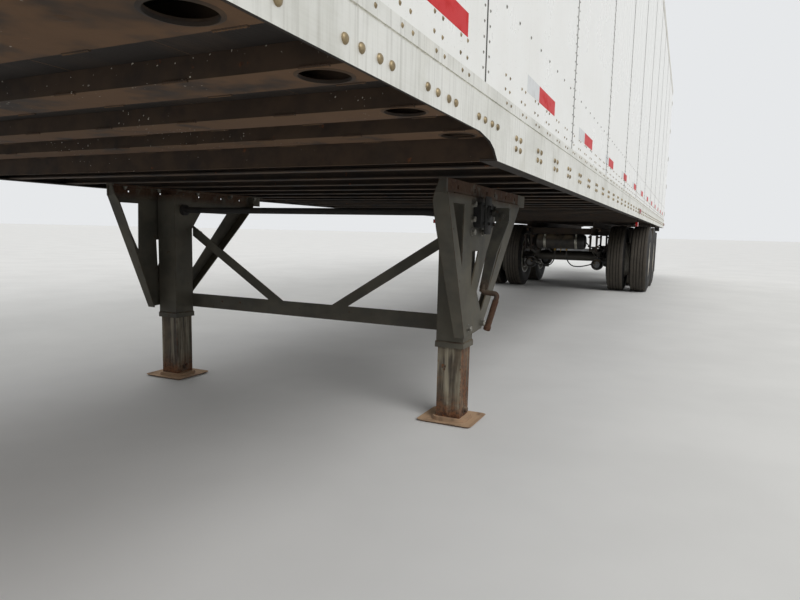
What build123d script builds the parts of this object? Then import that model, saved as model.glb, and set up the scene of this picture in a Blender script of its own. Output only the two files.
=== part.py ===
from build123d import *
import os
from math import atan2, cos, radians, tan

# Dry freight semi trailer standing on its landing gear, all sizes in millimetres.
# +X is the trailer's left (road) side, -Y its nose, +Z up.
# The origin is on the ground under the middle of the trailer.
os.makedirs("parts", exist_ok=True)

# Overall sizes
body_length = 16154.0
body_width = 2591.0
body_height = 4100.0

# Clearances: between seated pieces, between neighbouring panels, and round a door leaf
seat_gap = 0.3
panel_gap = 1.0
swing_gap = 8.0

# Heights of the floor structure above the ground
rail_bottom = 1073.0
coupler_rise = 58.0
floor_thickness = 35.0
beam_height = 96.0

# Side rail, an extruded channel with an outer lip for the wall panels
rail_web = 7.0
rail_flange = 45.0
rail_flange_thickness = 6.0
rail_web_height = 151.0
rail_groove_height = 7.0
rail_groove_depth = 5.0
rail_lip_height = 31.0
rail_lip_inset = 1.5
rail_lip_thickness = 6.0
rail_shelf_thickness = 6.0
# Step up to the coupler: place behind the coupler's back, rise above the rail's foot
rail_notch = [(-165.0, 58.0), (-74.0, 45.0), (-34.0, 29.0), (0.0, 2.0)]
rail_notch_depth = 2.0

# Walls, roof and front end
wall_thickness = 8.0
# Seams between the wall plates, measured back from the nose
wall_seam_setbacks = [1200.0, 2501.0, 3834.0, 5147.0, 6412.0, 7703.0, 9010.0, 10269.0, 11448.0,
                      12907.0, 14207.0]
post_width = 90.0
post_depth = 22.0
post_crown = 50.0
post_sheet = 2.5
scuff_top = 1530.0
scuff_depth = 3.0
corner_radius = 150.0
front_recess = 25.0
top_rail_height = 90.0
top_rail_thickness = 6.0
top_rail_flange = 60.0
roof_thickness = 3.0
bow_pitch = 609.6
bow_width = 50.0
bow_depth = 36.0
bow_sheet = 3.0
front_panel_count = 3
front_post_count = 5
front_post_depth = 30.0

# Cross members under the floor
beam_pitch = 304.8
first_beam_gap = 225.0
beam_flange = 57.0
beam_flange_thickness = 5.0
beam_web = 4.0
board_count = 8

# Upper coupler in the nose: lengths from the nose, then places ahead of the coupler's back
coupler_length = 2615.0
nose_plate_length = 1567.0
coupler_plate = 8.0
coupler_channel_leads = [787.0, 449.5, 130.5]
coupler_channel_width = 120.0
coupler_channel_sheet = 5.0
coupler_hole_leads = [1118.0, 788.0, 458.0, 113.0]
coupler_hole_radius = 47.5
coupler_hole_inset = 73.5
coupler_back_thickness = 8.0

# Kingpin, two inch pattern
kingpin_setback = 914.0
kingpin_shoulder_radius = 36.5
kingpin_shoulder = 19.0
kingpin_neck_radius = 25.4
kingpin_neck = 35.0
kingpin_collar_radius = 35.7
kingpin_collar = 30.0
kingpin_chamfer = 3.0

# Landing gear legs and shoes
leg_x = 860.0
leg_setback = 3510.0
leg_box = 129.0
leg_box_wall = 6.7
leg_box_bottom = 345.0
leg_head_gap = 39.3
leg_collar = 4.0
leg_collar_height = 25.0
leg_tube_wall = 6.0
leg_tube_overlap = 295.0
shoe_width = 266.0
shoe_length = 246.0
shoe_thickness = 6.0
shoe_lip = 12.0
shoe_rim_height = 9.0
shoe_boss_width = 176.0
shoe_boss_height = 14.0
shoe_boss_corner = 60.0
shoe_boss_slope = 30.0

# Wing brackets: corners are places behind the leg's middle and drops from the bracket's top
bracket_reach = 90.0
bracket_sheet = 6.0
bracket_flange = 70.0
bracket_flange_head = 36.0
bracket_flange_foot = 46.0
bracket_head_front = (-376.0, 0.0)
bracket_foot_front = (-123.0, 618.0)
bracket_foot_rear = (117.0, 603.0)
bracket_head_rear = (745.0, 0.0)
# Drops from the bracket's top between which its folded edges have their full width
flange_full_from = 33.0
flange_full_to = 143.0
bracket_windows = [
    [(-313.0, 38.0), (-178.0, 38.0), (-185.0, 297.0)],
    [(-61.0, 237.0), (37.0, 237.0), (-55.0, 395.0)],
    [(292.0, 73.0), (532.0, 73.0), (237.0, 395.0), (99.0, 521.0), (29.0, 423.0)],
]
spacer_width = 90.0
spacer_height = 70.0
spacer_low_rise = 60.0
spacer_high_drop = 220.0
angle_front_reach = 381.0
angle_rear_reach = 860.0
angle_height = 56.0
angle_leg = 34.0
angle_sheet = 8.0
# Square holes in the top angle: places behind the leg, and their drop from its top
angle_hole_backs = [-248.0, -30.0, 146.0, 274.0, 470.0, 648.0]
angle_hole_drop = 29.0
angle_hole_width = 14.0
angle_hole_height = 17.0

# Brace between the legs
brace_depth = 40.0
brace_sheet = 6.0
brace_rise = 55.0
brace_height = 77.0
brace_foot_x = 155.0
brace_head_inset = 70.0
brace_head_drop = 168.0
brace_end_inset = 5.0
brace_band = 50.0

# Cross shaft, gearbox and folded crank
shaft_drop = 83.0
shaft_radius = 16.0
gearbox_setback = 37.0
gearbox_drop = 12.0
gearbox_depth = 34.0
gearbox_width = 190.0
gearbox_height = 110.0
gearbox_corner = 18.0
crank_bar_radius = 12.0
crank_grip_radius = 14.0
crank_bend_radius = 14.0
crank_stub = 40.0
crank_head_width = 64.0
crank_head_height = 62.0
crank_head_depth = 30.0
crank_head_rise = 22.0
crank_arm_depth = 14.0
crank_corner = 8.0
# Crank arm and bar: corners are places out from the stub's end and up from the shaft
crank_arm = [
    (4.0, 18.0), (60.0, 18.0), (62.0, -36.0), (12.0, -177.0),
    (-26.0, -345.0), (-64.0, -345.0), (-37.0, -177.0), (2.0, -42.0),
]
crank_route = [(-45.0, -320.0), (-50.0, -358.0), (22.0, -362.0), (14.0, -392.0), (-24.0, -531.0)]

# Running gear, its middle measured ahead of the tail
tandem_setback = 4282.5
axle_spacing = 1245.0
tyre_radius = 515.0
tyre_half_width = 140.0
tyre_facets = 36
tread_half_width = 104.0
tyre_side_radius = 451.0
tyre_flank_radius = 386.0
bead_radius = 286.0
bead_half_width = 105.0
wheel_inset = 2.5
dual_offset = 171.0
rim_half_width = 118.0
rim_sheet = 9.0
rim_flange = 13.0
rim_lip = 7.0
rim_turn = 4.0
disc_thickness = 10.0
disc_dish_radius = 232.0
disc_turn = 6.0
pilot_radius = 110.0
hand_hole_count = 10
hand_hole_radius = 24.0
hand_hole_circle = 200.0
drum_radius = 212.0
drum_wall = 16.0
drum_step = 12.0
drum_inner_reach = 282.0
drum_outer_reach = 82.0
hub_flange_radius = 166.0
hub_nose_radius = 95.0
hub_barrel_reach = 118.0
hub_cap_radius = 62.0
hub_cap_reach = 142.0
spindle_radius = 55.0
spindle_reach = 98.0
spindle_clearance = 5.0
axle_tube_radius = 63.5
spider_radius = 180.0
spider_thickness = 12.0
spider_gap = 12.0

# Springs, hangers and slider frame
spring_x = 500.0
spring_width = 76.0
spring_depth = 38.0
spring_half_length = 600.0
spring_camber = 55.0
spring_seat_height = 28.0
spring_seat_length = 170.0
hanger_width = 110.0
hanger_length = 150.0
hanger_foot = 90.0
hanger_skirt = 39.6
hanger_plate = 8.0
slider_rail_x = 500.0
slider_rail_width = 90.0
slider_rail_height = 110.0
slider_rail_sheet = 8.0
slider_length = 2560.0
slider_cross_width = 90.0
slider_run_gap = 0.5
torque_rod_x = 478.0
torque_rod_radius = 15.0
torque_eye_radius = 20.0
torque_pin_radius = 12.0
torque_pin_rise = 17.8
torque_foot_rise = 30.0
torque_foot_gap = 2.7
body_rail_height = 96.0
body_rail_width = 100.0
body_rail_sheet = 8.0
body_rail_lead = 1394.5
body_rail_end_gap = 77.0

# Brakes, air tank and mud flaps
chamber_radius = 85.0
chamber_length = 190.0
chamber_dome = 35.0
chamber_x = 530.0
chamber_drop = 103.0
chamber_reach = 370.0
chamber_bracket = 12.0
push_rod_radius = 9.0
lever_thickness = 30.0
lever_width = 50.0
lever_corner = 22.5
camshaft_radius = 19.0
camshaft_reach = 115.0
tank_radius = 115.0
tank_length = 760.0
tank_end_radius = 46.0
flap_thickness = 8.0
flap_width = 610.0
flap_bottom = 230.0
flap_inset = 12.0
flap_arm = 40.0

# Air hoses from the tank to the chambers: places across, behind the axle and above the axle
hose_radius = 9.0
hose_routes = {
    "front": [
        (90.0, -567.5, 134.9), (90.0, -567.5, 45.0), (110.0, -532.0, -65.0),
        (175.0, -500.0, -135.0), (280.0, -482.0, -143.0), (410.0, -482.0, -115.0),
        (500.0, -460.0, -83.0), (500.0, -370.3, -83.0),
    ],
    "rear": [
        (200.0, -1697.2, 250.2), (200.0, -1557.0, 250.0), (210.0, -1287.0, 237.0),
        (225.0, -1017.0, 242.0), (250.0, -777.0, 220.0), (290.0, -627.0, 125.0),
        (350.0, -552.0, 5.0), (430.0, -517.0, -75.0), (500.0, -462.0, -83.0),
        (500.0, -370.3, -83.0),
    ],
}

# Rear frame and doors
hardware_depth = 70.0
rear_post_inset = 25.5
rear_post_width = 80.0
rear_frame_depth = 150.0
rear_sill_drop = 110.0
header_height = 108.7
door_thickness = 45.0
door_proud = 8.0

# Hinges, lock rods, keepers and handles
hinge_count = 5
hinge_low_rise = 181.4
hinge_high_drop = 130.0
hinge_pin_inset = 12.0
hinge_pin_back = 14.0
hinge_barrel_radius = 10.0
hinge_strap_length = 190.0
hinge_strap_height = 60.0
hinge_strap_thickness = 6.0
hinge_ear_thickness = 10.0
hinge_ear_foot = 30.0
hinge_ear_gap = 0.5
lock_rod_x = 330.0
lock_rod_radius = 13.5
lock_rod_standoff = 34.0
lock_rod_low_gap = 30.0
lock_rod_high_gap = 25.0
rod_guide_count = 3
rod_guide_low_rise = 261.4
rod_guide_high_drop = 220.0
rod_guide_width = 90.0
rod_guide_height = 30.0
cam_width = 36.0
cam_height = 46.0
handle_height = 1750.0
handle_length = 420.0
handle_thickness = 12.0
handle_width = 28.0
handle_hub = 44.0
keeper_gap = 9.0
keeper_wall = 12.0
keeper_height = 70.0

# Underride guard and dock bumpers
guard_top = 555.0
guard_size = 100.0
guard_wall = 6.0
guard_inset = 165.5
guard_setback = 107.0
guard_strut_x = 560.0
guard_strut_width = 80.0
bumper_width = 110.0
bumper_height = 200.0
bumper_inset = 145.5
bumper_top_gap = 10.0

# Lamps and the front service panel
lamp_proud = 18.0
side_lamp_length = 150.0
side_lamp_height = 45.0
side_lamp_corner = 15.0
mid_lamp_y = 140.0
rear_lamp_gap = 207.0
round_lamp_radius = 52.0
round_lamp_xs = [560.0, 690.0, 820.0]
header_lamp_spacing = 152.0
header_lamp_inset = 215.5
header_lamp_length = 62.0
header_lamp_height = 24.0
header_lamp_corner = 8.0
hung_lamp_y = 400.0
hung_lamp_length = 100.0
hung_lamp_height = 50.0
hung_lamp_corner = 12.0
hung_lamp_depth = 25.0
hung_lamp_drop = 63.0
hung_plate_inset = 50.0
hung_plate_length = 60.0
hung_plate_height = 100.0
hung_plate_sheet = 3.0
hung_plate_tab = 30.0
service_width = 520.0
service_height = 150.0
service_corner = 25.0
service_depth = 10.0
service_z = 1500.0
gladhand_radius = 27.0
gladhand_x = 170.0
socket_radius = 38.0

# Places along the trailer that follow from the sizes above
nose_y = -body_length / 2
tail_y = body_length / 2
front_skin_y = nose_y + front_recess
front_band_y = front_skin_y + corner_radius
coupler_back_y = nose_y + coupler_length
front_plate_end = nose_y + nose_plate_length
coupler_channel_ys = [coupler_back_y - lead for lead in coupler_channel_leads]
coupler_hole_ys = [coupler_back_y - lead for lead in coupler_hole_leads]
first_beam_y = coupler_back_y + first_beam_gap
leg_y = nose_y + leg_setback
wall_seams = [nose_y + setback for setback in wall_seam_setbacks]
tandem_y = tail_y - tandem_setback
axle_ys = {"front": tandem_y - axle_spacing / 2, "rear": tandem_y + axle_spacing / 2}
frame_rear_y = tail_y - hardware_depth
frame_front_y = frame_rear_y - rear_frame_depth
hinge_pin_y = frame_rear_y + hinge_pin_back
guard_y = frame_rear_y - guard_setback

# Places across the trailer
half_width = body_width / 2
rail_inner_x = half_width - rail_web
lip_outer_x = half_width - rail_lip_inset
wall_outer_x = lip_outer_x - rail_lip_thickness - seat_gap
wall_inner_x = wall_outer_x - wall_thickness
coupler_hole_x = rail_inner_x - coupler_hole_inset
bracket_x = leg_x + bracket_reach
leg_half = leg_box / 2
leg_tube = leg_box - 2 * leg_box_wall - 2 * seat_gap
dual_middle_x = half_width - wheel_inset - tyre_half_width - dual_offset
drum_inner_x = dual_middle_x - drum_inner_reach
drum_outer_x = dual_middle_x - drum_outer_reach
hub_barrel_x = dual_middle_x + hub_barrel_reach
hub_cap_x = dual_middle_x + hub_cap_reach
spindle_end_x = dual_middle_x + spindle_reach
post_outer_x = half_width - rear_post_inset
post_inner_x = post_outer_x - rear_post_width
hinge_pin_x = half_width - hinge_pin_inset
guard_half_length = half_width - guard_inset
bumper_x = half_width - bumper_inset
sides = {"left": 1, "right": -1}

# Heights
coupler_bottom = rail_bottom + coupler_rise
rail_web_top = rail_bottom + rail_web_height
rail_lip_bottom = rail_web_top + rail_groove_height
rail_top = rail_lip_bottom + rail_lip_height
wall_bottom = rail_lip_bottom + rail_flange_thickness + seat_gap
beam_bottom = rail_bottom + rail_flange_thickness + seat_gap
beam_top = beam_bottom + beam_height
beam_middle_z = beam_bottom + beam_height / 2
floor_bottom = beam_top + seat_gap
floor_top = floor_bottom + floor_thickness
roof_bottom = body_height - roof_thickness
top_rail_top = roof_bottom - seat_gap
top_rail_bottom = top_rail_top - top_rail_height
wall_top = top_rail_top - top_rail_thickness - seat_gap
leg_box_top = beam_bottom - leg_head_gap
leg_tube_top = leg_box_bottom + leg_tube_overlap
shaft_z = leg_box_top - shaft_drop
bracket_top = beam_bottom - seat_gap - angle_height
axle_z = tyre_radius
chamber_z = axle_z - chamber_drop
sill_bottom = floor_top - rear_sill_drop
header_bottom = top_rail_top - header_height
door_bottom = floor_top + swing_gap
door_top = header_bottom - swing_gap
lamp_z = (sill_bottom + floor_top) / 2


def across(y):
    """Plane across the trailer at one place along it, drawn in X and Z, extruding forwards."""
    return Plane.XZ.offset(-y)


def along(x):
    """Plane along the trailer, drawn in Y and Z, extruding to the left."""
    return Plane.YZ.offset(x)


def level(z):
    """Level plane at one height, drawn in X and Y, extruding up."""
    return Plane.XY.offset(z)


def mirrored(points, side):
    """Outline points for the left side, put on the side asked for."""
    return [(side * x, z) for x, z in points]


def spread(low, high, count):
    """Evenly spaced places from the lowest to the highest, both included."""
    return [low + (high - low) * number / (count - 1) for number in range(count)]


def save(part, name):
    """Label one finished piece and write it as a STEP file of that name."""
    part.label = name
    export_step(part, f"parts/{name}.step")


# Side rails, with the step up to the coupler
rail_profile = [
    (half_width, rail_bottom),
    (half_width, rail_web_top),
    (half_width - rail_groove_depth, rail_web_top),
    (half_width - rail_groove_depth, rail_lip_bottom),
    (lip_outer_x, rail_lip_bottom),
    (lip_outer_x, rail_top),
    (lip_outer_x - rail_lip_thickness, rail_top),
    (lip_outer_x - rail_lip_thickness, rail_lip_bottom + rail_shelf_thickness),
    (wall_inner_x, rail_lip_bottom + rail_shelf_thickness),
    (wall_inner_x, rail_lip_bottom),
    (rail_inner_x, rail_lip_bottom),
    (rail_inner_x, rail_bottom + rail_flange_thickness),
    (rail_inner_x - rail_flange, rail_bottom + rail_flange_thickness),
    (rail_inner_x - rail_flange, rail_bottom),
]
rail_front_y = front_band_y + panel_gap
rail_rear_y = frame_front_y - panel_gap
with BuildPart() as side_rails:
    for side in sides.values():
        with BuildSketch(across(rail_rear_y)):
            with BuildLine():
                Polyline(*mirrored(rail_profile, side), close=True)
            make_face()
        extrude(amount=rail_rear_y - rail_front_y)
    with BuildSketch(along(-half_width)):
        with BuildLine():
            Polyline(
                (rail_front_y - panel_gap, rail_bottom - rail_notch_depth),
                (rail_front_y - panel_gap, coupler_bottom),
                *[(coupler_back_y + place, rail_bottom + rise) for place, rise in rail_notch],
                (coupler_back_y, rail_bottom - rail_notch_depth),
                close=True,
            )
        make_face()
    extrude(amount=body_width, mode=Mode.SUBTRACT)
save(side_rails.part, "side_rails")

# Cross members, I section, one row from the coupler to the rear frame
beam_count = int((frame_front_y - beam_flange - first_beam_y) / beam_pitch) + 1
beam_ys = [first_beam_y + beam_pitch * number for number in range(beam_count)]
beam_half_length = rail_inner_x - seat_gap
with BuildPart() as cross_members:
    with BuildSketch(along(-beam_half_length)):
        with Locations(*[(y, beam_middle_z) for y in beam_ys]):
            Rectangle(beam_flange, beam_height)
        for hand in (-1, 1):
            pocket = (beam_flange - beam_web) / 2
            offset_y = hand * (beam_web + pocket) / 2
            with Locations(*[(y + offset_y, beam_middle_z) for y in beam_ys]):
                Rectangle(pocket, beam_height - 2 * beam_flange_thickness, mode=Mode.SUBTRACT)
    extrude(amount=2 * beam_half_length)
save(cross_members.part, "cross_members")

# Hardwood floor boards, running the length of the load space
floor_front_y = front_skin_y + wall_thickness + seat_gap
floor_rear_y = frame_front_y - panel_gap
board_pitch = 2 * beam_half_length / board_count
with BuildPart() as floor_boards:
    with BuildSketch(level(floor_bottom)):
        with Locations((0, (floor_front_y + floor_rear_y) / 2)):
            with GridLocations(board_pitch, 1, board_count, 1):
                Rectangle(board_pitch - panel_gap, floor_rear_y - floor_front_y)
    extrude(amount=floor_thickness)
    with BuildSketch(level(floor_bottom)):
        with Locations((half_width, floor_front_y), (-half_width, floor_front_y)):
            Rectangle(2 * corner_radius, 2 * corner_radius)
    extrude(amount=floor_thickness, mode=Mode.SUBTRACT)
save(floor_boards.part, "floor_boards")

# Upper coupler: a flat nose plate, cross channels with round holes, and a back plate
coupler_half = rail_inner_x - seat_gap
coupler_front_y = front_band_y + panel_gap
coupler_middle_z = (coupler_bottom + beam_top) / 2
with BuildPart() as upper_coupler:
    with BuildSketch(level(coupler_bottom)):
        with Locations((0, (coupler_front_y + front_plate_end) / 2)):
            Rectangle(2 * coupler_half, front_plate_end - coupler_front_y)
        with Locations((coupler_hole_x, coupler_hole_ys[0]), (-coupler_hole_x, coupler_hole_ys[0])):
            Circle(coupler_hole_radius, mode=Mode.SUBTRACT)
    extrude(amount=coupler_plate)
    with BuildSketch(along(-coupler_half)):
        with Locations((front_plate_end - coupler_channel_sheet / 2, coupler_middle_z)):
            Rectangle(coupler_channel_sheet, beam_top - coupler_bottom)
    extrude(amount=2 * coupler_half)
    for channel_y in coupler_channel_ys:
        with BuildSketch(along(-coupler_half)):
            with Locations((channel_y, coupler_middle_z)):
                Rectangle(coupler_channel_width, beam_top - coupler_bottom)
            with Locations((channel_y, coupler_middle_z + coupler_channel_sheet)):
                Rectangle(
                    coupler_channel_width - 2 * coupler_channel_sheet,
                    beam_top - coupler_bottom,
                    mode=Mode.SUBTRACT,
                )
        extrude(amount=2 * coupler_half)
    for hole_y in coupler_hole_ys[1:]:
        with BuildSketch(level(coupler_bottom)):
            with Locations((coupler_hole_x, hole_y), (-coupler_hole_x, hole_y)):
                Circle(coupler_hole_radius)
        extrude(amount=coupler_channel_sheet, mode=Mode.SUBTRACT)
    with BuildSketch(along(-coupler_half)):
        back_y = coupler_back_y + coupler_back_thickness / 2
        with Locations((back_y, (rail_bottom + beam_top) / 2)):
            Rectangle(coupler_back_thickness, beam_top - rail_bottom)
    extrude(amount=2 * coupler_half)
    with BuildSketch(across(coupler_back_y + coupler_back_thickness)):
        for side in sides.values():
            with Locations((side * (rail_inner_x - rail_flange / 2), rail_bottom)):
                Rectangle(rail_flange + 2 * panel_gap, 2 * (rail_flange_thickness + seat_gap))
    extrude(amount=coupler_back_thickness, mode=Mode.SUBTRACT)
save(upper_coupler.part, "upper_coupler")

# Kingpin, hanging under the nose plate
kingpin_y = nose_y + kingpin_setback
kingpin_neck_top = coupler_bottom - seat_gap - kingpin_shoulder
kingpin_collar_top = kingpin_neck_top - kingpin_neck
kingpin_bottom = kingpin_collar_top - kingpin_collar
with BuildPart() as kingpin:
    with BuildSketch(Plane(origin=(0, kingpin_y, 0), x_dir=(1, 0, 0), z_dir=(0, -1, 0))):
        with BuildLine():
            Polyline(
                (0, coupler_bottom - seat_gap),
                (kingpin_shoulder_radius, coupler_bottom - seat_gap),
                (kingpin_shoulder_radius, kingpin_neck_top),
                (kingpin_neck_radius, kingpin_neck_top),
                (kingpin_neck_radius, kingpin_collar_top),
                (kingpin_collar_radius, kingpin_collar_top),
                (kingpin_collar_radius, kingpin_bottom + kingpin_chamfer),
                (kingpin_collar_radius - kingpin_chamfer, kingpin_bottom),
                (0, kingpin_bottom),
                close=True,
            )
        make_face()
    revolve(axis=Axis((0, kingpin_y, 0), (0, 0, 1)))
save(kingpin.part, "kingpin")

# Front rails, bent round both corners, at the bottom and the top
with BuildPart() as front_rails:
    for low, high in ((coupler_bottom, rail_top), (top_rail_bottom, top_rail_top)):
        with BuildSketch(level(low)):
            with Locations((0, front_skin_y + 1.5 * corner_radius)):
                RectangleRounded(body_width, 3 * corner_radius, corner_radius)
                RectangleRounded(
                    body_width - 2 * wall_thickness,
                    3 * corner_radius - 2 * wall_thickness,
                    corner_radius - wall_thickness,
                    mode=Mode.SUBTRACT,
                )
            with Locations((0, front_band_y + 2 * corner_radius)):
                Rectangle(2 * body_width, 4 * corner_radius, mode=Mode.SUBTRACT)
        extrude(amount=high - low)
save(front_rails.part, "front_rails")

# Rounded corner posts between the front rails
corner_low = rail_top + seat_gap
corner_high = top_rail_bottom - seat_gap
with BuildPart() as corner_posts:
    for side in sides.values():
        with BuildSketch(level(corner_low)):
            with Locations((side * (half_width - corner_radius), front_band_y)):
                Circle(corner_radius - rail_lip_inset)
                Circle(corner_radius - rail_lip_inset - wall_thickness, mode=Mode.SUBTRACT)
            with Locations((side * (half_width - corner_radius), front_band_y + corner_radius)):
                Rectangle(4 * corner_radius, 2 * corner_radius, mode=Mode.SUBTRACT)
            with Locations((side * (half_width - 2 * corner_radius), front_band_y)):
                Rectangle(2 * corner_radius, 4 * corner_radius, mode=Mode.SUBTRACT)
        extrude(amount=corner_high - corner_low)
save(corner_posts.part, "corner_posts")

# Front wall sheets and the posts behind them
front_width = 2 * (half_width - corner_radius - panel_gap)
front_sheet_width = front_width / front_panel_count
with BuildPart() as front_wall:
    with BuildSketch(level(corner_low)):
        with Locations((0, front_skin_y + rail_lip_inset + wall_thickness / 2)):
            with GridLocations(front_sheet_width, 1, front_panel_count, 1):
                Rectangle(front_sheet_width - panel_gap, wall_thickness)
    extrude(amount=corner_high - corner_low)
save(front_wall.part, "front_wall")

front_post_y = front_skin_y + rail_lip_inset + wall_thickness + seat_gap + front_post_depth / 2
with BuildPart() as front_posts:
    with BuildSketch(level(floor_top + seat_gap)):
        with Locations((0, front_post_y)):
            with GridLocations(front_sheet_width / 2, 1, front_post_count, 1):
                Rectangle(post_crown, front_post_depth)
                Rectangle(
                    post_crown - 2 * post_sheet,
                    front_post_depth - 2 * post_sheet,
                    mode=Mode.SUBTRACT,
                )
    extrude(amount=top_rail_bottom - seat_gap - floor_top - seat_gap)
save(front_posts.part, "front_posts")

# Side walls, one plate between each pair of seams
wall_front_y = front_band_y + panel_gap
wall_rear_y = frame_front_y - panel_gap
wall_edges = [wall_front_y] + wall_seams + [wall_rear_y]
for side_name, side in sides.items():
    with BuildPart() as side_wall:
        for edge_front, edge_rear in zip(wall_edges[:-1], wall_edges[1:]):
            with BuildSketch(level(wall_bottom)):
                plate_x = side * (wall_inner_x + wall_outer_x) / 2
                with Locations((plate_x, (edge_front + edge_rear) / 2)):
                    Rectangle(wall_thickness, edge_rear - edge_front - panel_gap)
            extrude(amount=wall_top - wall_bottom)
    save(side_wall.part, f"side_wall_{side_name}")

# Hat posts inside each seam, standing on the scuff band's top
with BuildPart() as wall_posts:
    for side in sides.values():
        with BuildSketch(level(scuff_top + seat_gap)):
            for seam_y in wall_seams:
                base_x = side * (wall_inner_x - seat_gap - post_sheet / 2)
                crown_x = side * (wall_inner_x - seat_gap - post_depth / 2)
                hollow_x = side * (wall_inner_x - seat_gap - (post_depth - post_sheet) / 2)
                with Locations((base_x, seam_y)):
                    Rectangle(post_sheet, post_width)
                with Locations((crown_x, seam_y)):
                    Rectangle(post_depth, post_crown)
                with Locations((hollow_x, seam_y)):
                    Rectangle(
                        post_depth - post_sheet, post_crown - 2 * post_sheet, mode=Mode.SUBTRACT,
                    )
        extrude(amount=top_rail_bottom - seat_gap - scuff_top - seat_gap)
save(wall_posts.part, "wall_posts")

# Scuff bands along the foot of both walls inside
with BuildPart() as scuff_bands:
    for side in sides.values():
        with BuildSketch(level(floor_top + seat_gap)):
            scuff_x = side * (wall_inner_x - seat_gap - scuff_depth / 2)
            with Locations((scuff_x, (wall_front_y + wall_rear_y) / 2)):
                Rectangle(scuff_depth, wall_rear_y - wall_front_y)
        extrude(amount=scuff_top - floor_top - seat_gap)
save(scuff_bands.part, "scuff_bands")

# Top rails, an angle outside the walls with its flange under the roof sheet
top_rail_outer_x = wall_outer_x + seat_gap + top_rail_thickness
top_rail_profile = [
    (top_rail_outer_x, top_rail_bottom),
    (top_rail_outer_x, top_rail_top),
    (top_rail_outer_x - top_rail_flange, top_rail_top),
    (top_rail_outer_x - top_rail_flange, top_rail_top - top_rail_thickness),
    (top_rail_outer_x - top_rail_thickness, top_rail_top - top_rail_thickness),
    (top_rail_outer_x - top_rail_thickness, top_rail_bottom),
]
with BuildPart() as top_rails:
    for side in sides.values():
        with BuildSketch(across(rail_rear_y)):
            with BuildLine():
                Polyline(*mirrored(top_rail_profile, side), close=True)
            make_face()
        extrude(amount=rail_rear_y - rail_front_y)
save(top_rails.part, "top_rails")

# Roof sheet over the rails, and the bows under it
roof_half = top_rail_outer_x - rail_lip_inset
with BuildPart() as roof_sheet:
    with BuildSketch(level(roof_bottom)):
        with Locations((0, (front_skin_y + rail_lip_inset + frame_rear_y) / 2)):
            Rectangle(2 * roof_half, frame_rear_y - front_skin_y - rail_lip_inset)
    extrude(amount=roof_thickness)
    front_corners = roof_sheet.part.edges().filter_by(Axis.Z).group_by(Axis.Y)[0]
    fillet(front_corners, corner_radius - rail_lip_inset)
save(roof_sheet.part, "roof_sheet")

bow_half = top_rail_outer_x - top_rail_flange - seat_gap
bow_count = int((frame_front_y - front_band_y) / bow_pitch)
with BuildPart() as roof_bows:
    with BuildSketch(along(-bow_half)):
        for number in range(bow_count):
            bow_y = front_band_y + bow_pitch * (number + 0.5)
            with Locations((bow_y, top_rail_top - bow_depth / 2)):
                Rectangle(bow_width, bow_depth)
            with Locations((bow_y, top_rail_top - (bow_depth - bow_sheet) / 2)):
                Rectangle(bow_width - 2 * bow_sheet, bow_depth - bow_sheet, mode=Mode.SUBTRACT)
    extrude(amount=2 * bow_half)
save(roof_bows.part, "roof_bows")

# Rear frame: two posts, a header and a sill with holes for the round lamps
frame_middle_y = (frame_front_y + frame_rear_y) / 2
with BuildPart() as rear_frame:
    for side in sides.values():
        with BuildSketch(level(sill_bottom)):
            with Locations((side * (post_inner_x + post_outer_x) / 2, frame_middle_y)):
                Rectangle(rear_post_width, rear_frame_depth)
        extrude(amount=top_rail_top - sill_bottom)
    beam_half = post_inner_x - seat_gap
    for low, high in ((sill_bottom, floor_top), (header_bottom, top_rail_top)):
        with BuildSketch(level(low)):
            with Locations((0, frame_middle_y)):
                Rectangle(2 * beam_half, rear_frame_depth)
        extrude(amount=high - low)
    with BuildSketch(across(frame_rear_y)):
        for side in sides.values():
            with Locations(*[(side * x, lamp_z) for x in round_lamp_xs]):
                Circle(round_lamp_radius + seat_gap)
    extrude(amount=lamp_proud, mode=Mode.SUBTRACT)
save(rear_frame.part, "rear_frame")

# Plates under the rails for the hung side lamps, each with a tab against the rail's flange
hung_plate_x = half_width - hung_plate_inset
hung_top = rail_bottom - seat_gap
with BuildPart() as lamp_plates:
    for side in sides.values():
        with BuildSketch(along(side * hung_plate_x)):
            with Locations((hung_lamp_y, hung_top - hung_plate_height / 2)):
                Rectangle(hung_plate_length, hung_plate_height)
        extrude(amount=side * hung_plate_sheet)
        with BuildSketch(along(side * hung_plate_x)):
            with Locations((hung_lamp_y, hung_top - hung_plate_sheet / 2)):
                Rectangle(hung_plate_length, hung_plate_sheet)
        extrude(amount=side * hung_plate_tab)
save(lamp_plates.part, "lamp_plates")

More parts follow.
